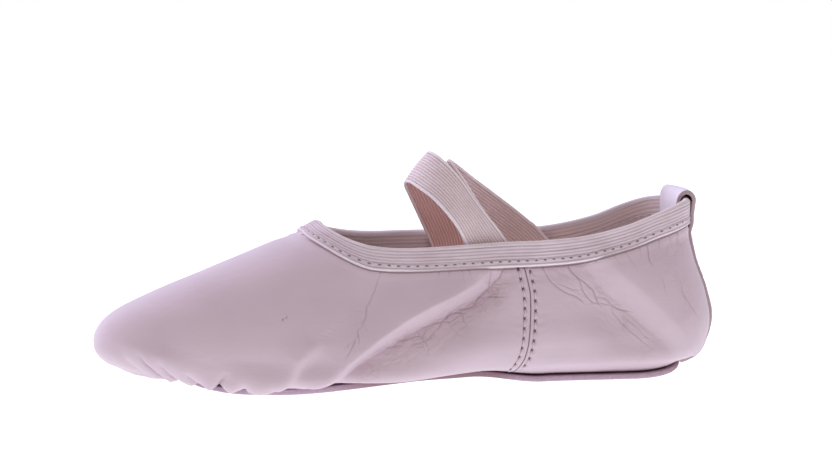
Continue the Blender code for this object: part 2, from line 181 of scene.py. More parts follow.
# Creases pressed into the near side: depth and points (station, height).
CREASES = (
    (0.2, (
        (85.2, 38), (84, 34.7), (83.2, 32.3), (81.3, 29.4), (80.2, 27.5), (79.9, 25.3), (78.9, 23.2),
        (77.8, 21.3),
    )),
    (0.24, ((77.8, 22), (76.8, 20.8), (77.1, 18.8), (77.3, 17.2))),
    (0.22, ((76.8, 20.3), (75.8, 17.4), (74.2, 14.5), (72.7, 12.4))),
    (0.12, ((76, 18.4), (73.7, 16.6), (72.4, 15.9))),
    (0.22, ((104, 37.6), (102.9, 35.5))),
    (0.12, ((110.8, 37.3), (111.3, 33.3))),
    (0.3, ((121, 38.2), (120.9, 34), (121.3, 31))),
    (0.32, (
        (126, 38.5), (125, 36.3), (123, 34), (121, 32), (119.8, 31.2), (117.7, 29.3), (115.5, 27),
    )),
    (0.2, ((121, 32), (122.8, 33.5), (127.5, 33.5))),
    (0.22, ((118.4, 29.5), (122, 29.5), (126.4, 29.2))),
    (0.26, ((103, 20.2), (105, 22.5), (107, 24.3), (109, 26), (111.2, 27.2), (115, 28.4))),
    (0.2, ((96.6, 21), (100.7, 21.5), (104.4, 22.5), (108, 22.3))),
    (0.24, ((107, 24.3), (110, 25.2), (113.3, 24.8))),
    (0.24, ((109.6, 25.8), (112.3, 26.2), (115, 26.5), (119.4, 29))),
    (0.18, ((80.2, 13.5), (83, 14.4), (85.3, 15.6), (86.8, 17))),
    (0.14, ((85, 15.5), (88, 15.2), (92.5, 16.6))),
    (0.16, ((88.5, 18), (92, 17.6), (96.6, 18.6), (100, 18.2))),
    (0.15, ((96.6, 21), (97.4, 18.6), (99.2, 16), (99.6, 13))),
    (0.3, (
        (147, 39.5), (147.7, 37), (151, 34), (153.6, 32.2), (156, 30), (156.8, 28.2), (157.5, 26),
        (158.8, 24.8),
    )),
    (0.26, (
        (147.8, 36.6), (150, 34.9), (151.5, 32.7), (152, 30.6), (153.7, 28), (155.7, 26.3), (157.7, 25.6),
    )),
    (0.26, (
        (138, 38.7), (140, 35), (141.2, 33.2), (144, 31), (146.8, 29.4), (150.2, 28.2), (153, 25.8),
    )),
    (0.14, ((141.2, 33.2), (145, 32.2), (148.5, 30.6), (151.8, 30.4))),
    (0.16, ((157.7, 29.7), (160, 29))),
    (0.22, ((157.5, 28), (160.5, 27), (162.8, 24.7), (165.6, 23.5), (169.6, 22.5))),
    (0.16, ((162.2, 25), (163, 22.5), (165.7, 19.3), (168.5, 16.4), (171.7, 13.6), (176.5, 9.7))),
    (0.13, ((165, 22.8), (168, 20), (170.5, 17.8), (173.8, 14.3), (178.3, 11.6))),
    (0.14, ((153, 25.8), (157.5, 26), (162.2, 25), (166.5, 25.4))),
    (0.18, ((184.7, 33.1), (185.9, 27.3), (188.9, 23.2), (192.2, 19.1))),
    (0.14, ((178.1, 34.7), (179.2, 31), (179.9, 27.6))),
    (0.16, ((166.6, 41.4), (167.4, 40.1), (169.9, 36.5))),
    (0.22, ((171.7, 44), (171.9, 39.9))),
    (0.26, ((174.3, 44.6), (174.5, 42), (174.8, 38.6), (176.1, 36.7))),
    (0.2, ((178.7, 45.6), (178.6, 41.7))),
    (0.18, ((182.3, 46.6), (183.1, 43.4))),
    (0.24, ((185.8, 47.6), (185.4, 42.7))),
    (0.14, ((162.5, 40.4), (164.7, 37.8))),
    (0.12, ((156, 39.7), (157, 38.6))),
    (0.18, ((107.2, 37.6), (106.6, 35.6))),
    (0.18, ((113, 37.8), (113.6, 34.8))),
    (0.6, ((54.2, 24.3), (55.3, 24.9), (56.6, 25.8))),
)
CREASE_SHARE = 0.35  # share of a crease's depth that is real, the rest only a line of painted shade
CREASE_WIDTH = 0.32
LINE_REACH = 1  # distance over which a crease's line of painted shade fades
CREASE_SWELL = 1.3  # how far the leather beside a crease is puffed up
CREASE_PUFF = 0.6  # how high, as a share of the crease's depth
CREASE_WOBBLE = (0.16, 1.6)  # how far a crease strays from its points, and over what length
FULL_CREASE = 0.3  # depth of a crease whose painted shade is at full strength
DARKEST_CREASE = 1.8
# Zones of fine netted wrinkles, like SWELLS with a strength from 0 to 1: ripples, and a net of lines of
# painted shade.
ZONES = (
    Swell(104, 20.5, 20, 5.5, 28, 1), Swell(84, 11.5, 13, 4.5, 24, 0.8), Swell(121, 32, 5, 6, 0, 0.7),
    Swell(152, 31, 12, 6, -35, 0.8), Swell(167, 19, 14, 5, -45, 0.7), Swell(185, 29, 10, 4, -60, 0.4),
    Swell(183, 42, 8, 4.5, 20, 0.5), Swell(79, 25, 4, 12, -15, 0.3),
)
NET_RIPPLE = (2.8, 0.9)  # length and width of the ripples in a zone
NET_DEPTH = 0.12
NET_MESH = (4.6, 4.6, 1.9)  # size of the meshes of the net of painted shade, along their lean and across it
NET_LEANS = {"rising": math.radians(-27), "falling": math.radians(42)}
# Humps are (rise, middle, half width), and fades are (start, length), backwards below 0.
HEEL_BULGE = (2.5, 5.8, 4.6)  # the slumped heel, by height
HEEL_PRESSED = (0.55, 18, 6)  # the dent above it, by height
HEEL_TURNS = (3.35, 0.55)  # fade of both by turn
LOW_BULGE = (1.8, 2.2, 3.4)  # the front of the wall, by height above LOW_LEVEL
LOW_FADE = (-2.5, 3.5)
LOW_LEVEL = 2  # one of LEVELS
TOE_DRAWN_IN = 0.3  # share of it that the toe's tip is drawn in instead
TOE_TURNS = (0.1, 0.35)
FRONT_TURNS = (1.55, -0.5)
WAIST_BULGE = 0.4  # share of it from the waist to the heel
WAIST_TURNS = ((1.8, 0.4), (3.5, -0.4))
BINDING_PUFF = (0.28, 1.4, 1.3)  # leather pinched by the binding, by drop below it
GATHERS = (0.085, 2.9, 2.6)  # puckers below the binding: depth, pitch and reach
GATHERS_IN_FRONT = 0.35  # their share at the throat
GATHERS_TURNS = (1.2, 1.2)
RUNGS = (0.1, 2.2)  # puckers beside the side seams: depth and reach
# Where the leather's relief begins: by drop, by distance above the sole's edge and
# by distance from a side seam.
OFF_BINDING = (BINDING_DEPTH - 1.6, 2.2)
OFF_SOLE = (-0.5, 4)
OFF_SEAM = (0.4, 3)
# Where, by station, and how far the leather hangs below the sole's top.
OVERHANG = ((40, 0.1), (80, 0.5), (125, 0.4), (150, 0.2), (185, 0))
OVERHANG_EDGE = 1.2  # distance outside the sole at which it hangs fully
LEATHER_CLEAR = 0.12  # space between leather and sole
# How the far side's folds and creases are moved from the near side's.
FAR_SHIFT = 7
FAR_WAVE = (2, 9)  # extra shift, and the height over which it varies
FAR_SCALE = 0.96
FAR_BLEND = 6  # distance beside the middle over which that comes in

# Pleats where the toe is drawn in under the foot. Valleys are lines of (station,
# height, depth, half width) on the near side; LOBES are the swellings between them,
# and TIP_PLEATS are the small gathers in front, at turns of the toe.
VALLEYS = (
    (
        (34.8, 1, 3.4, 2.6), (36.4, 3, 3, 1.7), (36.1, 5, 1.9, 0.8), (36.9, 7.2, 0.9, 0.6),
        (38.6, 9.4, 0.1, 0.6),
    ),
    ((43, 1, 2.8, 2.2), (43.4, 2.8, 2.3, 1.5), (43.4, 4.1, 1.2, 0.8), (45, 6.2, 0.1, 0.7)),
    ((32.4, 1.5, 2.4, 1.3), (31.2, 4, 2, 0.8), (28.8, 6.4, 1.3, 0.6), (26, 9.4, 0.1, 0.6)),
    ((26.2, 3.6, 1.7, 1), (23.4, 5.8, 1.5, 0.8), (19.7, 9.8, 0.9, 0.6), (17.9, 12.6, 0.1, 0.6)),
    ((20.4, 4.5, 1.7, 0.9), (17.3, 7.3, 1.6, 0.7), (14.2, 11.4, 1.2, 0.6), (12, 15, 0.1, 0.6)),
    ((13.8, 6.2, 1.3, 0.8), (10.6, 9.4, 1.2, 0.7), (8.1, 12.7, 0.7, 0.6), (7, 16.5, 0.1, 0.6)),
    ((49.5, 1, 0.6, 1.2), (52, 3.4, 0.4, 0.9), (54.5, 5.2, 0.1, 0.8)),
)
LOBES = (
    Swell(48, 3.8, 4.2, 3, 0, 1.7), Swell(39.9, 4.6, 2.3, 2.8, 0, 1.5),
    Swell(33.8, 5, 1.8, 2.4, -20, 1.3), Swell(27.6, 5.8, 3, 2, -40, 0.6),
    Swell(21.4, 7.8, 3.2, 1.6, -45, 0.6), Swell(15.4, 11.2, 3, 1.4, -50, 0.5),
)
TIP_PLEATS = (0, 0.055, 0.1)
TIP_HALF = 0.009  # half width of a tip pleat, in turns
TIP_DEPTH = 0.7
TIP_HEIGHTS = (11, -7)
TIP_TURNS = (0.16, -0.04)
LOBE_BULGE = 0.7  # how far the leather between the valleys swells out
LOBE_ROUNDING = 1.7  # distance over which a lobe rounds off towards a valley
LOBE_HEIGHTS = (13, -7)
VALLEY_SHARPNESS = 1.4  # 2 is a round bell, less is more pointed
SHALLOW = 0.2  # depth below which a valley doesn't part two lobes
SHALLOW_DISTANCE = 3  # what a shallow one's distance is raised by
PLEAT_STATIONS = (60, -10)
PLEAT_TURNS = (0.1, 0.08)
PLEAT_DROPS = (12, 8)

# The side seam as (height, station): both leathers turn in at a crevice, with a
# row of stitches on each side.
SEAM_LINE = (
    (0, 129.8), (5, 131), (9, 132.6), (13.5, 133.3), (18.6, 133.7), (24.5, 134), (30, 133.9), (34, 133.2),
    (38, 132.3), (46, 131),
)
SEAM_ROLL = 0.55  # radius with which each leather turns in
SEAM_CLEAR = 0.06  # half the crevice's width
SEAM_ROWS = ((-1.9, 0.7), (1.6, 1.6))  # stitch rows: place behind the crevice and start
SEAM_ROW_END = 2.2  # distance from the sole's edge
SEAM_PITCH = 3.15
CREVICE_SHADE = 0.3  # half width of the dark line at the crevice
BINDING_SHADE = (0.3, 0.6)  # place below the binding's edge, and half width
SHADE_STRENGTH = 1.6
PIT_DEPTHS = (0.4, 2)  # depth in a pleat where its painted shade begins, and how much deeper it is full
STITCH_HOLE = 0.54  # radius of a needle hole
HOLE_DEPTH = 0.45
HOLE_PULL = 0.8  # how far a hole is drawn out to each side, in radii
THREAD_RADIUS = 0.27
TWIST_PITCH = 0.5  # length of one turn of a thread's twist
THREAD_SIDES = 6
THREAD_RINGS = 7

# Fineness of the upper's mesh: rows under the binding, down the wall and in the
# turned-in edge, and columns between the places where their spacing changes.
BINDING_ROWS = 6
WALL_ROWS = 170
TURNED_ROWS = 4
FINE_FROM = 0.8  # turn behind which the vamp's columns are closer
FRONT_COLUMNS = 160
NEAR_COLUMNS = 228
FAR_COLUMNS = 92
QUARTER_COLUMNS = 242  # with the seam's edge steps, a multiple of LINING_STEP
SEAM_EDGE_STEPS = (0, 0.06, 0.14, 0.24, 0.36, 0.55, 0.85)
BACK_SEAM_CLEAR = 0.05
LEAN_FROM = 1.1  # turns between which the columns lean with a side seam
LEAN_MARGIN = 0.05
LEAN_END = (3.4, -1.3)
LINING_STEP = 4  # the lining's mesh is this many times coarser
LINING_LAP = 0.05  # how far the lining reaches past the middle of a side seam
LINING_FOLLOWS = 0.8  # how much of the leather's form shows inside
WELD_DISTANCE = 0.00001  # metres
BAND_COLUMNS = 560
INNER_ROWS = 22
OUTER_ROWS = 36
ARCH_ROWS = 8
BAND_HOLE = 0.44  # radius of a needle hole in the binding
BAND_HOLE_DEPTH = 0.22
STRIP_CLEAR = 0.1
STRIP_ROWS = 150
STRIP_COLUMNS = 40
STRAP_STEPS = 200
STRAP_COLUMNS = 120
STRAP_CUP = -0.5  # how far a strap's edges curl outwards
END_RADIUS = 14  # distance from the soles' ends to where their rings close
SOLE_STEPS = 440
CHANNEL_PITCH = 3.6  # stitches in the channel under the sole
CHANNEL_INSET = 3
CHANNEL_DEPTH = 0.35
# Rings of a flat piece: insets over its top, (inset, share of height) round its rim,
# and insets below.
TOP_RINGS = (60, 14, 9, 6, 4, 2.6, 1.5, 0.8)
RIM_RINGS = (
    (0.35, 1), (0.12, 0.93), (0.02, 0.8), (0, 0.6), (0.02, 0.4), (0.1, 0.2), (0.3, 0.06), (0.6, 0),
)
LOW_RINGS = (1.2, 2, 2.5, 2.75, 3, 3.25, 3.5, 4.2, 6, 9, 14, 60)

# Colours are linear red, green and blue.
SKIN_COLOURS = ((0.655, 0.512, 0.57), (0.575, 0.443, 0.498))  # pale and deep
# The strip's leather is paler than the slipper's, as painted light for its brightly lit tab.
TAB_LIT_COLOURS = ((0.84, 0.75, 0.83), (0.79, 0.7, 0.78))
LINING_COLOURS = ((0.51, 0.41, 0.44), (0.43, 0.335, 0.365))
SOCK_COLOURS = ((0.56, 0.45, 0.46), (0.47, 0.365, 0.38))
THREAD_COLOURS = ((0.71, 0.6, 0.65), (0.54, 0.425, 0.47))
BINDING_COLOURS = ((0.8, 0.675, 0.73), (0.42, 0.305, 0.335), (0.82, 0.68, 0.68))  # and a reddish painted glow of bounced light for the inner face
# The strap's third colour is likewise a painted glow of bounced light for its inner face.
STRAP_COLOURS = ((0.895, 0.79, 0.83), (0.52, 0.335, 0.33), (0.85, 0.55, 0.5))
RAW_COLOURS = ((0.55, 0.43, 0.45), (0.5, 0.38, 0.4), (0.38, 0.26, 0.26))  # face, rim and worn
SOLE_COLOURS = ((0.45, 0.345, 0.39), (0.53, 0.385, 0.47), (0.42, 0.29, 0.36))
# Darker tint in the zones of netted wrinkles.
WRINKLED_ZONE_COLOUR = (0.58, 0.44, 0.47)
# Painted shade: in creases and netted wrinkles, below the binding, at the side seam's crevice and on the
# sole's rim at the waist.
PAINTED_SHADE_COLOUR = (0.26, 0.14, 0.14)
# Painted shade in needle holes, the pleats' openings, the tab's loop and the sole's stitch channel.
HOLE_SHADE_COLOUR = (0.16, 0.095, 0.1)
# Painted shade in the binding's needle holes.
BAND_HOLE_SHADE_COLOUR = (0.2, 0.135, 0.145)
# Paler plain edges of the elastics, and a painted highlight along the top of the binding's fold.
PLAIN_AND_HIGHLIGHT_COLOUR = (0.94, 0.85, 0.89)
STREAK_TURN = (0, math.radians(-24), 0)  # faint drawn lines along the leather
STREAK_SCALE = (0.06, 0.5, 0.62)
FLOOR_COLOUR = (0.2, 0.198, 0.2)
FLOOR_SHADE = (0.19, 0.188, 0.19)
FLOOR_GLOW = (1.09, 1.14, 1.22)  # the floor is a light table
FLOOR_REACH = 4  # metres
# The studio is a dim room with broad glows: where each stands, how narrow it is and
# its light.
Glow = namedtuple("Glow", "towards tightness colour")
GLOWS = (
    Glow((0, 0, 1), 2, (0.72, 0.72, 0.76)),
    Glow((1, 0, 0), 2, (0.52, 0.48, 0.55)),
    Glow((-0.65, 0.65, 0.39), 3, (1.72, 1.62, 2)),
    Glow((0, 1, 0), 2, (0.6, 0.66, 0.92)),
    Glow((0, -1, 0), 2, (0.3, 0.22, 0.12)),
)

# A soft light lies inside the shoe and stands for what its pale inside throws back.
INNER_LIGHT_SIZE = (0.07, 0.018)  # metres
INNER_LIGHT_PLACE = (0.04, 0, 0.013)
INNER_LIGHT_POWER = 0.0054  # watts
INNER_LIGHT_COLOUR = (1, 0.86, 0.82)

# The camera turns about a point above the middle of the shoe, in metres and degrees.
CAMERA_LENS = 70
CAMERA_SENSOR = 36
CAMERA_AZIMUTH = 13
CAMERA_PITCH = 6.2
CAMERA_DISTANCE = 0.527
CAMERA_PIVOT_HEIGHT = 0.035
CAMERA_AIM = (0.0007, -0.0002, 0.047)

# The binding's band: its grooves by drop, how deep they are and the flat strip at
# its edge that the stitches run along.
BAND_THICKNESS = 0.85
BAND_CLEAR = 0.08  # space between leather and band
BAND_TOP = 0.72  # height of the band's fold over the collar edge
BAND_GROOVES = (0.35, 1.42, 2.46, 3.48, 4.42)
INNER_GROOVES = (0.5, 1.9, 3.3, 4.7, 5.9)
GROOVE_DEPTH = 0.36
GROOVE_WIDTH = 0.22
WEAK_GROOVE = 0.72  # depth of every other groove, as a share
LIP_GROOVE = (0.25, 6.08, 0.16)  # groove above the band's rounded lip, by drop
LIP = (0.16, 6.6, 0.35)
PLAIN_FROM = 6.28  # drop from which the band's edge is plain
STITCH_DROP = 5.15
STITCH_PITCH = 3
# Humps by turn: how much narrower the band is at the throat, where it stands above
# the CAD's collar, and how far leather and band sink in at the throat.
THROAT_NARROWING = (0.14, 0, 0.35)
BAND_LIFTS = ((1, 0, 0.33), (1, 4, 0.45), (1, -4, 0.45), (1.6, -1.2, 0.5))
THROAT_DIP = (0.9, 0, 0.33)
THROAT_DIP_DROP = (1, 7.5, 4.5)  # hump of that by drop
BAND_ENDS = 1  # half the space between the band's ends at the back

THREAD_SPACING = 0.42  # space between the threads across an elastic's ribs
STRAP_RIBS = 11
SELVEDGE = 1.1  # plain edge of a strap outside its ribs
SELVEDGE_GROOVE = (0.35, 0.16)  # depth and half width of the groove between the two
RIB_FLOOR = 0.45  # thickness between ribs, as a share

STRIP_STITCH_INSET = 1.3  # stitches' distance from the heel strip's edges
STRIP_SUNK = 0.12  # how deep they are pulled into it
STRIP_PITCH = 2.6

# --- curves ---
def smooth_through(place, knots, values):
    """Smooth curve through values at rising knots, read at one place."""
    last = len(knots) - 1
    here = 0
    while here < last - 1 and place > knots[here + 1]:
        here += 1
    slopes = []
    for end in (here, here + 1):
        before = max(end - 1, 0)
        after = min(end + 1, last)
        slopes.append((values[after] - values[before]) / (knots[after] - knots[before]))
    step = knots[here + 1] - knots[here]
    t = min(max((place - knots[here]) / step, 0), 1)
    return (
        values[here] * (2 * t**3 - 3 * t**2 + 1)
        + slopes[0] * (step * (t**3 - 2 * t**2 + t))
        + values[here + 1] * (3 * t**2 - 2 * t**3)
        + slopes[1] * (step * (t**3 - t**2))
    )


def ease(t):
    """Smooth step from 0 to 1, for a number or an array."""
    t = np.clip(t, 0, 1)
    return t * t * (3 - 2 * t)


def fade(place, span):
    """Smooth step over a span given as (start, length), which runs back if that is below 0."""
    start, length = span
    return ease((place - start) / length)


def bell(distance, reach):
    """Bell curve: 1 at no distance and about a third at the reach."""
    return np.exp(-((distance / reach) ** 2))


def hump(place, shape):
    """Bell-shaped rise, its shape given as (rise, middle, half width)."""
    rise, middle, half = shape
    return rise * bell(place - middle, half)


def between(low, share):
    """Value that grows from low to 1 with a share."""
    return low + (1 - low) * share


def rounded(inset, thinned, reach):
    """Share of a band's thickness at an inset from its edge, thinned over a reach."""
    return np.sqrt(1 - thinned * np.clip(1 - inset / reach, 0, 1) ** 2)


def ground(station):
    """Height of the sole's underside: flat at ball and heel, raised at arch, toe and back."""
    spring = TOE_SPRING_RATE * np.maximum(TOE_SPRING_STATION - station, 0) ** 2
    spring = spring + HEEL_SPRING_RATE * np.maximum(station - HEEL_SPRING_STATION, 0) ** 2
    front = ease((station - ARCH_FRONT[0]) / (ARCH_FRONT[1] - ARCH_FRONT[0]))
    rear = ease((ARCH_REAR[1] - station) / (ARCH_REAR[1] - ARCH_REAR[0]))
    return spring + ARCH_RISE * front * rear


def superellipse(angle, across, along, exponent):
    """Distance from the centre to a superellipse at an angle from its long axis."""
    sine = abs(math.sin(angle)) / across
    cosine = abs(math.cos(angle)) / along
    return (cosine**exponent + sine**exponent) ** (-1 / exponent)


def plan_point(turn, outline):
    """(station, half width) of an outline at a turn from 0 to 4."""
    if turn <= 1:
        angle = turn * math.pi / 2
        reach = superellipse(angle, outline.ball, BALL_PIVOT - outline.toe, outline.round)
        return BALL_PIVOT - reach * math.cos(angle), reach * math.sin(angle)
    if turn >= 3:
        angle = (4 - turn) * math.pi / 2
        reach = superellipse(angle, outline.side, outline.back - HEEL_PIVOT, HEEL_ROUNDNESS)
        return HEEL_PIVOT + reach * math.cos(angle), reach * math.sin(angle)
    stations = (BALL_PIVOT, WAIST, HEEL_PIVOT)
    station = smooth_through(turn, (1, 2, 3), stations)
    padded = (2 * BALL_PIVOT - WAIST, *stations, 2 * HEEL_PIVOT - WAIST)
    widths = (outline.waist, outline.ball, outline.waist, outline.side, outline.waist)
    return station, smooth_through(station, padded, widths)


def level_height(turn, level):
    """Height of one level at a turn, before it follows the ground."""
    heights = (level.toe_z, level.ball_z, level.waist_z, level.side_z, level.back_z)
    padded = (heights[1], *heights, heights[-2])
    return smooth_through(turn, range(-1, 6), padded)


def level_point(turn, level):
    """Point of the wall's outer face where a level crosses a turn from 0 to 4."""
    station, half = plan_point(turn, level)
    if level is LEVELS[-1]:
        height = smooth_through(station, *zip(*COLLAR))
    else:
        height = level_height(turn, level) + level.follow * ground(max(station, OUTSOLE.toe))
    return Vector((station - LENGTH / 2, -half, height))


def unit(vectors):
    """Vectors of length 1 along the last axis of an array."""
    return vectors / np.maximum(np.linalg.norm(vectors, axis=-1, keepdims=True), 1e-9)


def lengths_along(points):
    """Distance along a line of points, from 0 at the first."""
    steps = np.linalg.norm(np.diff(points, axis=0), axis=1)
    return np.concatenate(([0], np.cumsum(steps)))


# --- the wall as a table ---
TABLE_TURNS = np.linspace(0, 4, 641)
TABLE_DROPS = np.arange(0, 131, 0.25)


def wall_table():
    """The wall's points by turn and drop, and the drops of its levels from the collar down."""
    table = np.empty((len(TABLE_TURNS), len(TABLE_DROPS), 3))
    marks = np.empty((len(TABLE_TURNS), len(LEVELS)))
    for i, turn in enumerate(TABLE_TURNS):
        knots = [level_point(turn, level) for level in reversed(LEVELS)]
        spans = lengths_along(np.array(knots))
        places = np.linspace(0, spans[-1], PROFILE_SAMPLES + 1)
        points = np.array([smooth_through(place, spans, knots) for place in places])
        stations = np.maximum(points[:, 0] + LENGTH / 2, OUTSOLE.toe)
        points[:, 2] = np.maximum(points[:, 2], UNDERSIDE + ground(stations))
        drops = lengths_along(points)
        marks[i] = np.interp(spans, places, drops)
        for axis in range(3):
            table[i, :, axis] = np.interp(TABLE_DROPS, drops, points[:, axis])
    return table, marks


WALL_TABLE, WALL_MARKS = wall_table()


def wall_point(turn, drop):
    """Points of the wall's outer face at arrays of turns and drops."""
    turn, drop = np.broadcast_arrays(np.asarray(turn, float), np.asarray(drop, float))
    turn = (turn + 4) % 8 - 4
    column = np.abs(turn) / TABLE_TURNS[1]
    row = np.maximum(drop, 0) / TABLE_DROPS[1]
    i = np.minimum(column.astype(int), len(TABLE_TURNS) - 2)
    j = np.minimum(row.astype(int), len(TABLE_DROPS) - 2)
    along = (column - i)[..., None]
    down = (row - j)[..., None]
    above = WALL_TABLE[i, j] * (1 - along) + WALL_TABLE[i + 1, j] * along
    below = WALL_TABLE[i, j + 1] * (1 - along) + WALL_TABLE[i + 1, j + 1] * along
    points = above * (1 - down) + below * down
    points[..., 1] *= np.where(turn < 0, -1, 1)
    return points


def wall_frame(turn, drop):
    """Unit vectors outwards from the wall and up it."""
    down = wall_point(turn, drop + PROFILE_REACH) - wall_point(turn, np.maximum(drop - PROFILE_REACH, 0))
    along = wall_point(turn + TURN_REACH, drop) - wall_point(turn - TURN_REACH, drop)
    return unit(np.cross(down, along)), -unit(down)


def off_wall(turn, drop, out, up=0):
    """Points a distance outwards and upwards from places on the wall's outer face."""
    turn, drop = np.asarray(turn, float), np.asarray(drop, float)
    outwards, upwards = wall_frame(turn, drop)
    stand = outwards * np.asarray(out)[..., None] + upwards * np.asarray(up)[..., None]
    return wall_point(turn, drop) + stand


def mark_drop(turn, level):
    """Drop of one of LEVELS at an array of turns."""
    return np.interp(np.abs(turn), TABLE_TURNS, WALL_MARKS[:, len(LEVELS) - 1 - level])


def level_lengths(level):
    """Distance along a level from the toe, at each of TABLE_TURNS."""
    return lengths_along(wall_point(TABLE_TURNS, mark_drop(TABLE_TURNS, level)))


COLLAR_LENGTHS = level_lengths(len(LEVELS) - 1)
WIDEST_LENGTHS = level_lengths(WIDEST_LEVEL)
COLLAR_STATIONS = wall_point(TABLE_TURNS, 0)[:, 0] + LENGTH / 2


def signed_length(turn, lengths):
    return np.sign(turn) * np.interp(np.abs(turn), TABLE_TURNS, lengths)


def spaced(start, end, steps, lengths=WIDEST_LENGTHS):
    """Turns from start to end, evenly apart along a level."""
    first, last = signed_length(np.array([start, end]), lengths)
    places = np.linspace(first, last, steps + 1)
    return np.sign(places) * np.interp(np.abs(places), lengths, TABLE_TURNS)


def heel_turns(distance):
    """Distance along the collar at the heel, as turns."""
    return distance / LEVELS[-1].side * 2 / math.pi


def collar_turn(station):
    """Turn at which the collar passes a station."""
    return np.interp(station, COLLAR_STATIONS, TABLE_TURNS)


# --- noise and fields ---
def lattice(i, j, seed):
    """Repeatable number from 0 to 1 for each place on a whole-number lattice."""
    mixed = np.sin(i * 127.1 + j * 311.7 + seed * 74.7) * 43758.5453
    return mixed - np.floor(mixed)


def noise(x, y, seed=0):
    """Smooth noise from -1 to 1, with a grain of 1."""
    i, j = np.floor(x), np.floor(y)
    u, v = ease(x - i), ease(y - j)
    low = lattice(i, j, seed) * (1 - u) + lattice(i + 1, j, seed) * u
    high = lattice(i, j + 1, seed) * (1 - u) + lattice(i + 1, j + 1, seed) * u
    return 2 * (low * (1 - v) + high * v) - 1


def line_distance(points, x, y):
    """(distance, side, values) of places from a line of points.

    The side is 1 above a line that runs towards greater x and -1 below it, and values
    are the line's further columns where each place is nearest to it.
    """
    line = np.array(points)
    best = np.full(np.shape(x), 1e9)
    side = np.ones(np.shape(x))
    values = np.zeros(np.shape(x) + (line.shape[1] - 2,))
    for start, end in zip(line, line[1:]):
        step = end[:2] - start[:2]
        t = np.clip(((x - start[0]) * step[0] + (y - start[1]) * step[1]) / (step @ step), 0, 1)
        dx, dy = x - start[0] - t * step[0], y - start[1] - t * step[1]
        distance = np.hypot(dx, dy)
        closer = distance < best
        best = np.where(closer, distance, best)
        side = np.where(closer, np.where(step[0] * dy - step[1] * dx >= 0, 1, -1), side)
        values = np.where(closer[..., None], start[2:] + (end - start)[2:] * t[..., None], values)
    return best, side, np.moveaxis(values, -1, 0)


def swell_field(swell, x, y):
    """Bell-shaped field of a swell, 1 at its centre."""
    angle = math.radians(swell.angle)
    dx, dy = x - swell.station, y - swell.height
    along = dx * math.cos(angle) + dy * math.sin(angle)
    across = dy * math.cos(angle) - dx * math.sin(angle)
    return bell(along, swell.long) * bell(across, swell.wide), along, across


def smooth_crest(distance, rounding, reach):
    """Fall from 1 at a rounded crest with distance."""
    return np.exp(-(np.hypot(distance, rounding) - rounding) / reach)


# --- the leather's relief ---
def near_side_place(points):
    """(station, height) at which the near side's folds and creases are read for each point."""
    station, height = points[..., 0] + LENGTH / 2, points[..., 2]
    far = ease(points[..., 1] / FAR_BLEND)
    shift, scale = FAR_WAVE
    station = station + far * (FAR_SHIFT + shift * np.sin(height / scale))
    return station, height / (1 - far * (1 - FAR_SCALE))


def fold_relief(station, height):
    relief = np.zeros(np.shape(station))
    for fold in FOLDS:
        distance, side, (rise, fall) = line_distance(fold.crest, station, height)
        above = smooth_crest(distance, fold.rounding, fold.above)
        recovered = np.exp(-np.maximum(distance - fall, 0) / fold.below)
        fallen = np.clip(distance / fall, 0, 1)
        fallen = fallen**FOLD_SHARPNESS * (1 - fold.softness) + ease(fallen) * fold.softness
        below = (1 - fallen) - fallen * fold.hollow * recovered
        relief = relief + rise * np.where(side > 0, above, below)
    for swell in SWELLS:
        relief = relief + swell.rise * swell_field(swell, station, height)[0]
    relief = relief + 0.1 * noise(station / 13, height / 9, 3)
    return relief


def pleat_relief(turn, station, height):
    """Lobes and valleys where the toe is drawn in, and how deep in a valley each place is."""
    nearest = np.full(np.shape(turn), 1e9)
    cut = np.zeros(np.shape(turn))
    for valley in VALLEYS:
        distance, _, (depth, half) = line_distance(valley, station, height)
        cut = np.maximum(cut, depth * np.exp(-((distance / half) ** VALLEY_SHARPNESS)))
        nearest = np.minimum(nearest, distance + np.where(depth > SHALLOW, 0, SHALLOW_DISTANCE))
    fore = fade(station, PLEAT_STATIONS) * fade(np.abs(turn), PLEAT_TURNS)
    lobe = LOBE_BULGE * (1 - bell(nearest, LOBE_ROUNDING)) * fade(height, LOBE_HEIGHTS)
    for swell in LOBES:
        lobe = lobe + swell.rise * swell_field(swell, station, height)[0]
    tip = np.zeros(np.shape(turn))
    for pleat in TIP_PLEATS:
        tip = tip + bell(np.abs(turn) - pleat, TIP_HALF)
    tip = TIP_DEPTH * tip * fade(height, TIP_HEIGHTS) * fade(np.abs(turn), TIP_TURNS)
    return (lobe - cut) * fore - tip, cut * fore


def crease_relief(station, height):
    """Creases with the puffed leather beside them: relief, and the closeness and strength of their lines of
    painted shade.
    """
    relief = np.zeros(np.shape(station))
    nearest = np.full(np.shape(station), 1e9)
    strength = np.zeros(np.shape(station))
    stray, grain = CREASE_WOBBLE
    wobble = stray * noise(station / grain, height / grain, 21)
    for full, points in CREASES:
        last = len(points) - 1
        taper = [0.25 + 0.75 * min(k, last - k, 1) for k in range(last + 1)] if last > 1 else (1, 0.2)
        line = [(*point, full * part) for point, part in zip(points, taper)]
        distance, _, (depth,) = line_distance(line, station + wobble, height - wobble)
        groove = bell(distance, CREASE_WIDTH)
        puff = bell(distance, CREASE_SWELL) - groove
        relief = relief + CREASE_SHARE * depth * (CREASE_PUFF * np.maximum(puff, 0) - groove)
        drawn = np.minimum(depth / FULL_CREASE, DARKEST_CREASE)
        strength = np.where(distance < nearest, drawn, strength)
        nearest = np.minimum(nearest, distance)
    return relief, nearest, strength


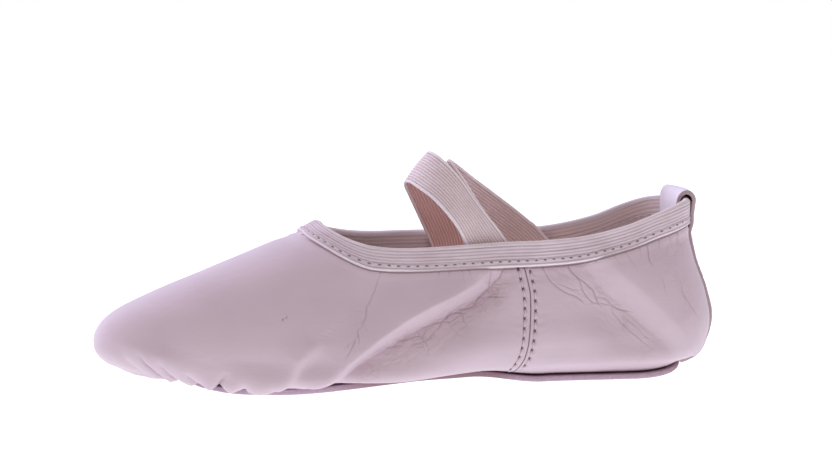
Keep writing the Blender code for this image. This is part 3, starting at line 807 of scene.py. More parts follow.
def net_relief(station, height):
    """Fine ripples in ZONES, with the strength of zones that rise and fall towards the heel."""
    relief = np.zeros(np.shape(station))
    strengths = {name: np.zeros(np.shape(station)) for name in NET_LEANS}
    for seed, swell in enumerate(ZONES):
        field, along, across = swell_field(swell, station, height)
        field = field * swell.rise
        bend = noise(along / 6, across / 4, seed)
        ripple = noise(along / NET_RIPPLE[0] + bend, across / NET_RIPPLE[1] + bend, seed + 31)
        relief = relief + NET_DEPTH * field * ripple
        lean = "rising" if swell.angle >= 0 else "falling"
        patchy = ease(0.55 + 0.8 * noise(along / 6, across / 4, seed + 60))
        strengths[lean] = np.maximum(strengths[lean], field * patchy)
    return relief, strengths["rising"], strengths["falling"]


def pucker_relief(turn, drop, seam_gap, height):
    """Small gathers below the binding and beside the side seam's stitches."""
    along = signed_length(turn, COLLAR_LENGTHS)
    below = drop - BINDING_DEPTH
    depth, pitch, reach = GATHERS
    wave = np.sin(2 * math.pi * (along / pitch + 0.35 * noise(along / 5, drop / 6, 41)))
    heelwards = between(GATHERS_IN_FRONT, fade(np.abs(turn), GATHERS_TURNS))
    gather = depth * wave * heelwards * np.exp(-np.maximum(below, 0) / reach)
    gather = gather * (0.55 + 0.45 * noise(along / 7, drop / 9, 43))
    depth, reach = RUNGS
    side = np.abs(seam_gap)
    rung = np.sin(2 * math.pi * (height / SEAM_PITCH + 0.5 * noise(side / 3, height / 4, 47)))
    rung = depth * rung * np.exp(-np.maximum(side - 2, 0) / reach) * ease(side - 0.8)
    rung = rung * (0.6 + 0.4 * noise(side / 4, height / 5, 49))
    return gather + rung + hump(below, BINDING_PUFF)


def seam_station(height):
    heights, stations = zip(*SEAM_LINE)
    return np.interp(height, heights, stations)


Relief = namedtuple("Relief", "form fine line deep rising falling pit")


def leather_relief(turn, drop):
    """Relief of the leather at arrays of turns and drops: form is shared with the lining."""
    points = wall_point(turn, drop)
    station, height = near_side_place(points)
    clear_of_binding = fade(drop, OFF_BINDING)
    clear_of_sole = fade(mark_drop(turn, SOLE_EDGE_LEVEL) - drop, OFF_SOLE)
    seam_gap = points[..., 0] + LENGTH / 2 - seam_station(points[..., 2])
    clear_of_seam = fade(np.abs(seam_gap), OFF_SEAM)
    pleats, pit = pleat_relief(turn, station, height)
    form = fold_relief(station, height) * clear_of_binding * between(FOLD_AT_SOLE, clear_of_sole)
    form = form * between(FOLD_AT_SEAM, clear_of_seam) + pleats * fade(drop, PLEAT_DROPS)
    form = form + settle(turn, drop) - throat_dip(turn, drop)
    creases, line, deep = crease_relief(station, height)
    nets, rising, falling = net_relief(station, height)
    fine = (creases + nets) * clear_of_binding * clear_of_sole * clear_of_seam
    fine = fine + pucker_relief(turn, drop, seam_gap, points[..., 2]) * clear_of_binding
    shown = clear_of_binding * clear_of_seam
    return Relief(
        form, fine, np.maximum(1 - line / LINE_REACH, 0), deep * shown,
        rising * shown, falling * shown, pit,
    )


def settle(turn, drop):
    """How far the wall has slumped outwards low down, most of all at the back."""
    height = wall_point(turn, drop)[..., 2]
    side = np.abs(turn)
    slump = fade(side, HEEL_TURNS) * (hump(height, HEEL_BULGE) - hump(height, HEEL_PRESSED))
    above = mark_drop(turn, LOW_LEVEL) - drop
    toe = (1 + TOE_DRAWN_IN) * fade(side, TOE_TURNS) - TOE_DRAWN_IN
    waist = WAIST_BULGE * fade(side, WAIST_TURNS[0]) * fade(side, WAIST_TURNS[1])
    bulge = fade(side, FRONT_TURNS) * toe + waist
    return slump + hump(above, LOW_BULGE) * bulge * fade(above, LOW_FADE)


def clear_sole(points):
    """Keep leather from sinking into the sole, and off the floor where it overhangs."""
    station = points[..., 0] + LENGTH / 2
    rest = ground(np.maximum(station, OUTSOLE.toe)) + SOLE_THICKNESS + LEATHER_CLEAR
    overhang = ease((np.abs(points[..., 1]) - sole_half(station)) / OVERHANG_EDGE)
    overhang = np.where(station < OUTSOLE.toe - 0.5, 1, overhang)
    rest = rest - overhang * np.interp(station, *zip(*OVERHANG))
    raised = points.copy()
    raised[..., 2] = np.maximum(points[..., 2], rest)
    return raised


SOLE_PLAN = np.array([plan_point(turn, OUTSOLE) for turn in TABLE_TURNS])


def sole_half(station):
    """Half width of the outsole by station."""
    return np.interp(station, SOLE_PLAN[:, 0], SOLE_PLAN[:, 1])


# --- meshes ---
class Shell:
    """Points, faces and per-point facts of one piece, gathered grid by grid."""

    def __init__(self):
        self.points = []
        self.faces = []
        self.slots = []
        self.facts = {}
        self.count = 0

    def add_points(self, points, **facts):
        """Add a grid of points and return their numbers in the same layout."""
        flat = np.asarray(points).reshape(-1, 3)
        numbers = self.count + np.arange(len(flat)).reshape(np.shape(points)[:-1])
        for name in set(self.facts) | set(facts):
            values = self.facts.setdefault(name, [np.zeros(self.count)])
            values.append(np.broadcast_to(facts.get(name, 0), numbers.shape).reshape(-1))
        self.points.append(flat)
        self.count += len(flat)
        return numbers

    def add_face(self, numbers, flip=False):
        numbers = [int(number) for number in numbers]
        self.faces.append(numbers[::-1] if flip else numbers)
        self.slots.append(0)

    def add_quads(self, numbers, flip=False, slot=0):
        """Faces of a grid of point numbers; unflipped they face down x along."""
        corners = (numbers[:-1, :-1], numbers[:-1, 1:], numbers[1:, 1:], numbers[1:, :-1])
        quads = np.stack(corners[::-1] if flip else corners, axis=-1)
        self.slots.extend(np.broadcast_to(slot, quads.shape[:2]).reshape(-1).tolist())
        self.faces.extend(quads.reshape(-1, 4).tolist())

    def add_border(self, fine, coarse, flip=False):
        """Join a finely stepped edge to one with fewer steps, both as lines of numbers."""
        ratio = (len(fine) - 1) // (len(coarse) - 1)
        for k in range(len(coarse) - 1):
            start = k * ratio
            middle = start + ratio // 2
            for place in range(start, start + ratio):
                apex = coarse[k] if place < middle else coarse[k + 1]
                self.add_face((apex, fine[place], fine[place + 1]), flip)
            self.add_face((coarse[k], fine[middle], coarse[k + 1]), flip)

    def make(self, name, materials, node, slot, merge=False):
        """Make the piece and fix it to the frame in place of its CAD node."""
        mesh = bpy.data.meshes.new(name)
        points = np.concatenate(self.points) * MM
        mesh.from_pydata(points.tolist(), [], self.faces)
        mesh.polygons.foreach_set("material_index", self.slots)
        for fact, values in self.facts.items():
            layer = mesh.attributes.new(fact, "FLOAT", "POINT")
            layer.data.foreach_set("value", np.concatenate(values).astype(np.float32))
        for material in materials:
            mesh.materials.append(material)
        if merge:
            weld(mesh)
        mesh.shade_smooth()
        piece = bpy.data.objects.new(name, mesh)
        bpy.context.scene.collection.objects.link(piece)
        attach(piece, BODY)
        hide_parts(node)


def weld(mesh):
    """Join points that coincide and drop faces that this closes up."""
    work = bmesh.new()
    work.from_mesh(mesh)
    bmesh.ops.remove_doubles(work, verts=work.verts, dist=WELD_DISTANCE)
    work.to_mesh(mesh)
    work.free()


def close_ring(numbers):
    """Grid of point numbers whose last column is its first one again."""
    return np.concatenate((numbers, numbers[:, :1]), axis=1)


def grid_normals(points):
    """Unit normals of a grid, facing down x along."""
    return unit(np.cross(np.gradient(points, axis=1), np.gradient(points, axis=0)))


def add_slab(shell, middle, above, below, edge_slot=0, edge_columns=0, **facts):
    """Closed band round a grid of middle points, with a thickness to each side.

    A fact is one value for both faces, or a pair for the upper and the lower one.
    """
    normals = grid_normals(middle)
    top = middle + normals * above[..., None]
    under = middle - normals * below[..., None]
    doubled = {}
    for name, values in facts.items():
        pair = values if isinstance(values, tuple) else (values, values)
        upper, lower = (np.broadcast_to(face, middle.shape[:-1]) for face in pair)
        doubled[name] = np.concatenate((upper, lower[:, ::-1]), axis=1)
    numbers = shell.add_points(np.concatenate((top, under[:, ::-1]), axis=1), **doubled)
    width = middle.shape[1]
    place = np.arange(2 * width) % width
    from_edge = np.minimum(place, width - 2 - place)
    slots = np.where(from_edge < edge_columns, edge_slot, 0)
    shell.add_quads(close_ring(numbers), slot=slots)
    for end, flip in ((numbers[0], True), (numbers[-1], False)):
        shell.add_quads(np.stack((end[:width], end[width:][::-1])), flip=flip, slot=edge_slot)


def add_thread(shell, start, end, out, lift, sink, radius):
    """One stitch: a short thread between two needle holes, arched over the surface."""
    t = np.linspace(0, 1, THREAD_RINGS)
    arch = lift * np.sin(math.pi * t) ** 0.5 - sink * (2 * t - 1) ** 4
    path = start + (end - start) * t[:, None] + out * arch[:, None]
    ahead = unit(np.gradient(path, axis=0))
    side = unit(np.cross(ahead, out))
    up = np.cross(side, ahead)
    angles = (np.arange(THREAD_SIDES) * 2 * math.pi / THREAD_SIDES)[:, None]
    spokes = side[:, None] * np.cos(angles) + up[:, None] * np.sin(angles)
    numbers = shell.add_points(path[:, None] + spokes * radius, along=t[:, None] * 3)
    shell.add_quads(close_ring(numbers), flip=True)
    shell.add_face(numbers[0])
    shell.add_face(numbers[-1], flip=True)


def add_stitches(shell, place, start, end, pitch, lift, sink=0.35, radius=THREAD_RADIUS, inset=0.16):
    """A row of stitches. place(distance) gives (points, outward directions) along the row."""
    count = int((end - start) / pitch)
    holes = start + pitch * np.arange(count + 1)
    first, out = place(holes[:-1] + inset * pitch)
    last, _ = place(holes[1:] - inset * pitch)
    for a, b, direction in zip(first, last, out):
        add_thread(shell, a, b, direction, lift, sink, radius)
    return place(holes)[0]


def hole_field(points, holes, radius):
    """How far each point is inside the nearest needle hole, from 0 to 1.

    Holes come in rows, and each is drawn out along its row by the pull of the thread.
    """
    field = np.zeros(points.shape[:-1])
    pulls = unit(np.gradient(holes, axis=0)) * radius * HOLE_PULL
    for hole, pull in zip(holes, pulls):
        near = np.abs(points - hole).max(axis=-1) < 4 * radius
        away = points[near] - hole
        share = np.clip(away @ pull / (pull @ pull), -1, 1)
        distance = np.linalg.norm(away - share[:, None] * pull, axis=-1)
        field[near] = np.maximum(field[near], bell(distance, radius))
    return field


# --- the upper ---
def row_drop(turn, row):
    """Drop of a row of the wall's mesh at a turn: the binding, the wall, the turned-in edge."""
    edge = mark_drop(turn, SOLE_EDGE_LEVEL)
    end = mark_drop(turn, 0)
    binding = BINDING_DEPTH * np.minimum(row / BINDING_ROWS, 1)
    wall = np.clip((row - BINDING_ROWS) / WALL_ROWS, 0, 1)
    turned = np.clip((row - BINDING_ROWS - WALL_ROWS) / TURNED_ROWS, 0, 1)
    return binding + wall * (edge - BINDING_DEPTH) + turned * (end - edge)


ROWS = np.arange(BINDING_ROWS + WALL_ROWS + TURNED_ROWS + 1)


def seam_turns():
    """Turn of the side seam's crevice at each row of the wall's mesh."""
    turns = TABLE_TURNS[200:520]
    drops = row_drop(turns[:, None], ROWS)
    points = wall_point(turns[:, None], drops)
    ahead = points[..., 0] + LENGTH / 2 - seam_station(points[..., 2])
    return np.array([np.interp(0, ahead[:, row], turns) for row in ROWS])


SEAM_TURNS = seam_turns()
SEAM_MIDDLE = float(SEAM_TURNS.mean())
MM_PER_TURN = float(np.diff(np.interp((1.9, 2.1), TABLE_TURNS, WIDEST_LENGTHS))[0]) / 0.2


def seam_place(side, offset):
    """place(distance) for a row of stitches down the leather beside the side seam."""
    drops = row_drop(SEAM_TURNS, ROWS)
    turns = SEAM_TURNS + offset / MM_PER_TURN
    spans = lengths_along(wall_point(turns, drops))

    def place(distance):
        drop = np.interp(distance, spans, drops)
        turn = side * np.interp(distance, spans, turns)
        relief = leather_relief(turn, drop)
        return off_wall(turn, drop, relief.form + relief.fine), wall_frame(turn, drop)[0]

    return place


def seam_stitches():
    """The threads beside both side seams, and the points of their needle holes."""
    shell = Shell()
    holes = []
    for side in (1, -1):
        for offset, start in SEAM_ROWS:
            end = mark_drop(SEAM_MIDDLE, SOLE_EDGE_LEVEL) - SEAM_ROW_END
            place = seam_place(side, offset)
            holes.append(add_stitches(shell, place, BINDING_DEPTH + start, end, SEAM_PITCH, 0.1))
    return shell, np.concatenate(holes)


def near_seam(middle):
    """Turns of columns at each row, leaning with the side seam, from their middle turns."""
    side = np.abs(middle)
    lean = fade(side, (LEAN_FROM, SEAM_MIDDLE - LEAN_FROM - LEAN_MARGIN)) * fade(side, LEAN_END)
    return middle[:, None] + (np.sign(middle) * lean)[:, None] * (SEAM_TURNS - SEAM_MIDDLE)


def lapped(middle):
    """Middle turns of the lining, which laps over the side seams to keep light out."""
    turns = middle.copy()
    for end in (0, -1):
        seam = math.copysign(SEAM_MIDDLE, middle[end])
        if abs(middle[end] - seam) * MM_PER_TURN < 2 * SEAM_EDGE_STEPS[1] + SEAM_CLEAR:
            turns[end] = seam + math.copysign(LINING_LAP / MM_PER_TURN, seam - middle[end])
    return turns


def make_wall_piece(name, middle, holes, materials):
    """One leather of the upper with its lining, through columns given by their middle turns."""
    turns = near_seam(middle)
    drops = row_drop(turns, ROWS)
    relief = leather_relief(turns, drops)
    base = wall_point(turns, drops)
    out, _ = wall_frame(turns, drops)
    gap = np.abs(base[..., 0] + LENGTH / 2 - seam_station(base[..., 2]))
    into = np.maximum(SEAM_ROLL - gap, 0)
    roll = np.sqrt(np.maximum(SEAM_ROLL**2 - into**2, 0)) - SEAM_ROLL
    hole = hole_field(base + out * (relief.form + relief.fine)[..., None], holes, STITCH_HOLE)
    stand = relief.form + relief.fine + roll - HOLE_DEPTH * hole
    outer = clear_sole(base + out * stand[..., None])
    coarse = (slice(None, None, LINING_STEP), slice(None, None, LINING_STEP))
    depth = WALL - LINING_FOLLOWS * relief.form[coarse]
    inner = off_wall(near_seam(lapped(middle)[::LINING_STEP])[:, ::LINING_STEP], drops[coarse], -depth)
    shell = Shell()
    # Painted shade: a dark line along the side seam's crevice and another just below the binding's edge,
    # drawn with the creases.
    place, half = BINDING_SHADE
    below = drops - BINDING_DEPTH * band_scale(turns) + band_lift(turns)
    seam_and_binding_shade = np.maximum(bell(gap, CREVICE_SHADE), bell(below - place, half))
    # The hole and pit facts draw painted shade into the needle holes and deep in the pleats' valleys.
    front = shell.add_points(
        outer,
        line=np.maximum(relief.line, seam_and_binding_shade), deep=np.maximum(relief.deep, SHADE_STRENGTH * seam_and_binding_shade),
        rising=relief.rising, falling=relief.falling,
        hole=hole, pit=np.clip((relief.pit - PIT_DEPTHS[0]) / PIT_DEPTHS[1], 0, 1),
    )
    back = shell.add_points(inner)
    shell.add_quads(front)
    shell.add_quads(back, flip=True, slot=1)
    shell.add_border(front[:, 0], back[:, 0])
    shell.add_border(front[:, -1], back[:, -1], flip=True)
    shell.add_border(front[0], back[0], flip=True)
    shell.add_border(front[-1], back[-1])
    shell.make(name, materials, "upper", "upper_leather")


def make_upper(materials, thread):
    shell, holes = seam_stitches()
    shell.make("side_seam_threads", [thread], "upper", "upper_leather")
    edge = (SEAM_CLEAR + np.array(SEAM_EDGE_STEPS)) / MM_PER_TURN
    ahead, behind = SEAM_MIDDLE - edge, SEAM_MIDDLE + edge
    near = np.concatenate((spaced(FINE_FROM, ahead[-1], NEAR_COLUMNS), ahead[-2::-1]))
    far = np.concatenate((spaced(FINE_FROM, ahead[-1], FAR_COLUMNS), ahead[-2::-1]))
    front = spaced(-FINE_FROM, FINE_FROM, FRONT_COLUMNS)
    make_wall_piece("vamp", np.concatenate((-far[:0:-1], front, near[1:])), holes, materials)
    heel = 4 - heel_turns(BACK_SEAM_CLEAR)
    quarter = np.concatenate((behind[:-1], spaced(behind[-1], heel, QUARTER_COLUMNS)))
    make_wall_piece("quarter_near", quarter, holes, materials)
    make_wall_piece("quarter_far", -quarter[::-1], holes, materials)


# --- the binding ---
def band_scale(turn):
    """How wide the band is at a turn, as a share of its full depth."""
    return 1 - hump(turn, THROAT_NARROWING)


def grooves(drop, places, turn, seed):
    """Depth of a band's grooves, each a little wavy and uneven along its length."""
    along = signed_length(turn, COLLAR_LENGTHS)
    depth = np.zeros(np.shape(drop))
    for k, place in enumerate(places):
        row = along * 0 + k
        sway = 0.07 * noise(along / 9, row, seed) + 0.03 * noise(along / 2.2, row, seed + 1)
        strength = (1, WEAK_GROOVE)[k % 2] * (0.85 + 0.25 * noise(along / 14, row, seed + 2))
        depth = depth + strength * bell(drop - place - sway, GROOVE_WIDTH)
    return GROOVE_DEPTH * depth


def band_lift(turn):
    """How far the stretched band stands above the CAD's collar."""
    return sum(hump(turn, lift) for lift in BAND_LIFTS)


def throat_dip(turn, drop):
    """How far the throat's leather and band are pressed in round the band's lower edge."""
    return hump(turn, THROAT_DIP) * hump(drop, THROAT_DIP_DROP)


def band_surface(turn, drop, side):
    """Points of the band's plain surface, outside the wall for side 1 and inside for -1."""
    out = BAND_CLEAR + BAND_THICKNESS if side > 0 else -(WALL + BAND_CLEAR + BAND_THICKNESS)
    return off_wall(turn, drop * band_scale(turn), out - throat_dip(turn, drop), band_lift(turn))


def band_place(side):
    """place(distance) for the stitches along the band, from its end on the far side."""
    reach = COLLAR_LENGTHS[-1]

    def place(distance):
        length = distance - reach
        turn = np.sign(length) * np.interp(np.abs(length), COLLAR_LENGTHS, TABLE_TURNS)
        drop = STITCH_DROP + 0.12 * noise(length / 6, length * 0, 71)
        points = band_surface(turn, drop, side)
        out = wall_frame(turn, drop)[0] * side
        return points - out * 0.05, out

    return place


def sew_binding(thread):
    """Stitches on both faces of the binding; returns the needle holes of the outer face."""
    shell = Shell()
    start = BAND_ENDS + 1.2
    end = 2 * COLLAR_LENGTHS[-1] - start
    for side in (-1, 1):
        holes = add_stitches(shell, band_place(side), start, end, STITCH_PITCH, 0.08, inset=0.2)
    shell.make("binding_threads", [thread], "binding", "binding_elastic")
    return holes


def band_middle(turn):
    """The band's middle surface from inside over the collar to outside, and its drops.

    Drops count below 0 on the inside.
    """
    inner = np.linspace(BINDING_DEPTH, 0, INNER_ROWS)
    outer = np.linspace(0, BINDING_DEPTH, OUTER_ROWS)
    arch = np.linspace(math.pi, 0, ARCH_ROWS + 2)[1:-1]
    out = BAND_CLEAR + BAND_THICKNESS / 2
    radius = WALL / 2 + out
    scale, lift = band_scale(turn), band_lift(turn)
    wavy = 0.1 * noise(signed_length(turn, COLLAR_LENGTHS) / 8, 0 * turn, 77)
    sag = wavy * ease((outer - 4) / 3)
    over = radius * np.cos(arch) - WALL / 2 - throat_dip(turn, 0)
    middle = (
        off_wall(turn, inner * scale, -WALL - out - throat_dip(turn, inner), lift),
        off_wall(turn, 0 * over, over, BAND_TOP * np.sin(arch) + lift),
        off_wall(turn, outer * scale + sag, out - throat_dip(turn, outer), lift),
    )
    drops = np.concatenate((-inner, -0.3 * radius * np.cos(arch), outer))
    return np.concatenate(middle, axis=1), drops + 0 * turn


def make_binding(materials, thread):
    holes = sew_binding(thread)
    back = 4 - heel_turns(BAND_ENDS)
    turn = spaced(-back, back, BAND_COLUMNS, COLLAR_LENGTHS)[:, None]
    middle, across = band_middle(turn)
    half = BAND_THICKNESS / 2
    groove = grooves(-across, INNER_GROOVES, turn, 81) + grooves(across, BAND_GROOVES, turn, 91)
    lip_groove = hump(across, LIP_GROOVE)
    hole = hole_field(middle + grid_normals(middle) * half, holes, BAND_HOLE)
    thin = rounded(BINDING_DEPTH - np.abs(across), 0.93, 0.45)
    above = (half - groove - lip_groove + hump(across, LIP)) * thin - BAND_HOLE_DEPTH * hole
    shell = Shell()
    # The groove and hole facts set painted shade, and the inside fact sets painted bounced light on the
    # inner face.
    add_slab(
        shell, middle, above, half * thin, along=signed_length(turn, COLLAR_LENGTHS),
        groove=groove / GROOVE_DEPTH + lip_groove * 3, hole=hole, inside=1 * (across < 0),
        # paler at the plain edge below the stitches, and a painted highlight along the top of the fold
        plain=ease((across - PLAIN_FROM) / 0.3) + ease((0.5 - np.abs(across)) / 0.4),
    )
    shell.make("binding_band", materials, "binding", "binding_elastic")


# --- the heel strip ---
def strip_path():
    """Middle of the strip as (drop, outwards, upwards), from the sole up, over and down inside."""
    middle = STRIP_THICKNESS / 2
    on_leather = STRIP_CLEAR + middle
    on_band = BAND_CLEAR + BAND_THICKNESS + STRIP_CLEAR + middle
    inside = -(WALL + on_band)
    lift = BINDING_DEPTH + STRIP_LAP
    path = [(drop, on_leather, 0) for drop in np.arange(STRIP_FOOT, lift, -3)]
    path.append((lift, on_leather + STRIP_CLEAR, 0))
    path.extend((drop, on_band, 0) for drop in (BINDING_DEPTH, BINDING_DEPTH / 2))
    path.extend((0, out, up) for out, up in TAB_LOOP)
    path.extend((drop, inside, 0) for drop in STRIP_INSIDE)
    return np.array(path)


def strip_half(drop):
    """Half width of the strip, by drop."""
    return np.interp(drop, *zip(*STRIP_WIDTHS))


def strip_turn(drop, share):
    """Turn of a place across the strip, with share from -1 to 1."""
    return 4 + heel_turns(strip_half(drop)) * share


def strip_place(side):
    """place(distance) for a row of stitches up one edge of the strip."""

    def place(distance):
        drop = STRIP_FOOT - distance
        turn = strip_turn(drop, side * (1 - STRIP_STITCH_INSET / strip_half(drop)))
        lift = STRIP_CLEAR + STRIP_THICKNESS - STRIP_SUNK + settle(turn, drop)
        return off_wall(turn, drop, lift), wall_frame(turn, drop)[0]

    return place


def make_back_strip(materials, thread):
    path = strip_path()
    centre = off_wall(np.full(len(path), 4), path[:, 0], path[:, 1], path[:, 2])
    spans = lengths_along(centre)
    places = np.linspace(0, spans[-1], STRIP_ROWS + 1)
    smooth = np.array([smooth_through(place, spans, path) for place in places])
    share = np.linspace(-1, 1, STRIP_COLUMNS + 1)
    drop, out, up = (column[:, None] + 0 * share for column in smooth.T)
    turn = strip_turn(drop - up, share[None, :])
    edge = (1 - np.abs(share)) * strip_half(drop - up)
    wave = 0.12 * noise(places[:, None] / 7, share * 2, 101) * np.abs(share)
    settled = settle(turn, drop) * (out > 0)
    middle = off_wall(turn, drop, out + wave + settled, up * (1 + TAB_TILT * share))
    half = STRIP_THICKNESS / 2
    above = half * rounded(edge, 0.55, 0.5)
    stitched = bell(edge - STRIP_STITCH_INSET, 0.5) * ease((drop - BINDING_DEPTH) / 2)
    above = above - STRIP_SUNK * stitched + 0.05 * noise(places[:, None] / 1.5, share * 6, 103)
    shell = Shell()
    # Painted shade on the lower face inside the loop.
    dark = TAB_LOOP_SHADE * (up > 0.5)
    add_slab(
        shell, middle, above, np.full(above.shape, half), edge_slot=1, edge_columns=1, pit=(0, dark)
    )
    shell.make("heel_strip", materials, "back_strip", "strip_leather")

    shell = Shell()
    for side in (-1, 1):
        add_stitches(shell, strip_place(side), 4, STRIP_FOOT - BINDING_DEPTH - 4, STRIP_PITCH, 0.1)
    shell.make("heel_strip_threads", [thread], "back_strip", "strip_leather")


# --- the straps ---
def strap_end(end, side):
    """Middle points and widthwise directions of a strap's sewn end, from its tip upwards."""
    inset = -(WALL + GAP + BAND_THICKNESS + end.clear + STRAP_THICKNESS / 2)
    frames = []
    for drop in (STRAP_END_DROP, STRAP_END_DROP / 2, 0):
        turn = side * collar_turn(end.station + end.slant * drop)
        heelwards = (wall_point(turn + TURN_REACH, drop) - wall_point(turn - TURN_REACH, drop)) * side
        frames.append((off_wall(turn, drop, inset), unit(heelwards)))
    return frames


def strap_frames(strap):
    """Middle points of a strap and the directions across its width."""
    free = []
    for bend in strap.bends:
        lean, turned = math.radians(bend.lean), math.radians(bend.turned)
        across = unit(np.array((math.cos(lean), math.tan(turned), math.sin(lean))))
        free.append((np.array((bend.station - LENGTH / 2, bend.across, bend.height)), across))
    frames = strap_end(strap.near, 1) + free + strap_end(strap.far, -1)[::-1]
    points, directions = zip(*frames)
    return np.array(points), np.array(directions)


def strap_profile(places, width, seed):
    """Half thickness of a strap across its width, how deep in a groove each place is, for painted shade,
    and how plain it is.
    """
    ribbed = STRAP_WIDTH / 2 - SELVEDGE
    side = np.abs(width)
    phase = (width / ribbed + 1) / 2 * STRAP_RIBS
    sway = 0.06 * noise(places / 6, phase, seed)
    rib = 0.5 - 0.5 * np.cos(2 * math.pi * (phase + sway))
    rib = np.where(side < ribbed, between(RIB_FLOOR, rib**0.5), 1)
    depth, reach = SELVEDGE_GROOVE
    valley = bell(side - ribbed, reach)
    thin = rounded(STRAP_WIDTH / 2 - side, 0.9, 0.4)
    half = STRAP_THICKNESS / 2 * (rib - depth * valley) * thin
    groove = np.maximum((1 - rib) / (1 - RIB_FLOOR), valley)
    return half, groove, fade(side - ribbed, (0.2, 0.3))


def make_strap(strap, materials, seed):
    points, directions = strap_frames(strap)
    knots = lengths_along(points)
    places = np.linspace(0, knots[-1], STRAP_STEPS + 1)
    middle = np.array([smooth_through(place, knots, points) for place in places])
    across = np.array([smooth_through(place, knots, directions) for place in places])
    along = unit(np.gradient(middle, axis=0))
    across = unit(across - along * (along * across).sum(axis=1, keepdims=True))
    out = np.cross(across, along)
    places = places[:, None]
    share = np.linspace(-0.5, 0.5, STRAP_COLUMNS + 1)
    cup = STRAP_CUP * (4 * share**2 - 0.33)
    width = share * STRAP_WIDTH
    spread = width * (1 + 0.012 * noise(places / 9, 0 * share, seed))
    grid = middle[:, None] + across[:, None] * spread[..., None] + out[:, None] * cup[:, None]
    half, groove, plain = strap_profile(places, width, seed + 3)
    shell = Shell()
    # The inner face gets painted bounced light by the strap's share, and the grooves get painted shade.
    add_slab(
        shell, grid, half, half, along=places, groove=groove, plain=plain, inside=(0, strap.warmth)
    )
    shell.make(strap.name + "_band", materials, strap.name, "strap_elastic")


# --- soles ---
def outline_loop(outline, steps):
    """Places and points round an outline, from the heel along the far side and back."""
    plan = np.array([plan_point(turn, outline) for turn in TABLE_TURNS])
    spans = lengths_along(plan)
    places = np.linspace(-spans[-1], spans[-1], steps + 1)
    station = np.interp(np.abs(places), spans, plan[:, 0])
    half = np.interp(np.abs(places), spans, plan[:, 1])
    return places, np.stack((station, -np.sign(places) * half), axis=-1)


def flat_points(outline, edge, inset, height, underside):
    """Points inset from the edge of a flat piece that follows the ground."""
    station = np.clip(edge[:, 0], outline.toe + END_RADIUS, outline.back - END_RADIUS)
    centre = np.stack((station, 0 * station), axis=-1)
    reach = np.linalg.norm(edge - centre, axis=-1)
    share = np.maximum(1 - inset / reach[:, None], 0)
    plan = centre[:, None] + (edge - centre)[:, None] * share[..., None]
    rise = underside + ground(plan[..., 0]) + height
    return np.stack((plan[..., 0] - LENGTH / 2, plan[..., 1], rise), axis=-1)


def make_flat(name, outline, underside, thickness, materials, node, slot, seed, channel=0):
    """Outsole or insole: rings from the middle of its top, round its edge, to the middle below."""
    places, edge = outline_loop(outline, SOLE_STEPS)
    top = [(inset, 1) for inset in TOP_RINGS]
    rings = np.array((*top, *RIM_RINGS, *((inset, 0) for inset in LOW_RINGS)))
    inset = np.tile(rings[:, 0], (len(places), 1))
    ragged = 0.14 * noise(places / 3, 0 * places, seed) + 0.08 * noise(places / 0.9, 0 * places, seed + 1)
    inset = inset + ragged[:, None] * np.exp(-inset / 0.8)
    low = np.arange(len(rings)) >= len(TOP_RINGS) + len(RIM_RINGS)
    cut = channel * bell(rings[:, 0] - CHANNEL_INSET, 0.28) * low
    points = flat_points(outline, edge, inset, rings[:, 1] * thickness + cut, underside)
    bumps = 0.05 * noise(points[..., 0] / 5, points[..., 1] / 5, seed + 2)
    points[..., 2] += np.where(rings[:, 1] > 0.5, bumps, 0)
    shell = Shell()
    rimmed = np.exp(-np.maximum(inset - 0.2, 0) / 0.5)
    # Painted shade on the rim where the sole rises at the waist.
    waisted = ease((ground(edge[:, 0]) - 0.4) / 2)[:, None]
    # The cut fact darkens the stitch channel with painted shade.
    numbers = shell.add_points(points, rim=rimmed, cut=cut / max(channel, 1e-6), waisted=waisted * rimmed)
    shell.add_quads(numbers, flip=True)
    shell.make(name, materials, node, slot, merge=True)
    return places, edge


def make_outsole(materials, thread):
    places, edge = make_flat(
        "sole_leather", OUTSOLE, 0, SOLE_THICKNESS, materials, "outsole", "sole_leather", 111, CHANNEL_DEPTH
    )
    shell = Shell()
    reach = places[-1]

    def place(distance):
        plan = np.stack([np.interp(distance - reach, places, line) for line in edge.T], axis=-1)
        points = flat_points(OUTSOLE, plan, np.array([[CHANNEL_INSET]]), 0.16, 0)[:, 0]
        return points, np.tile((0, 0, -1), (len(plan), 1))

    add_stitches(shell, place, 2, 2 * reach - 2, CHANNEL_PITCH, 0.03, sink=0.1, radius=0.13)
    shell.make("sole_threads", [thread], "outsole", "sole_leather")


# --- materials ---
def fill(tree, socket, value):
    """Set an input socket, or link it to another node's output."""
    if isinstance(value, bpy.types.NodeSocket):
        tree.links.new(value, socket)
    elif isinstance(value, tuple) and socket.type == "RGBA":
        socket.default_value = (*value, 1)
    else:
        socket.default_value = value


def add_node(tree, kind, settings, output=0, **inputs):
    """Add a node, fill its inputs (_0 is the first) and return one of its outputs."""
    made = tree.nodes.new(kind)
    for name, value in settings.items():
        setattr(made, name, value)
    for name, value in inputs.items():
        key = int(name[1:]) if name[0] == "_" else name.replace("_", " ")
        fill(tree, made.inputs[key], value)
    return made.outputs[output]


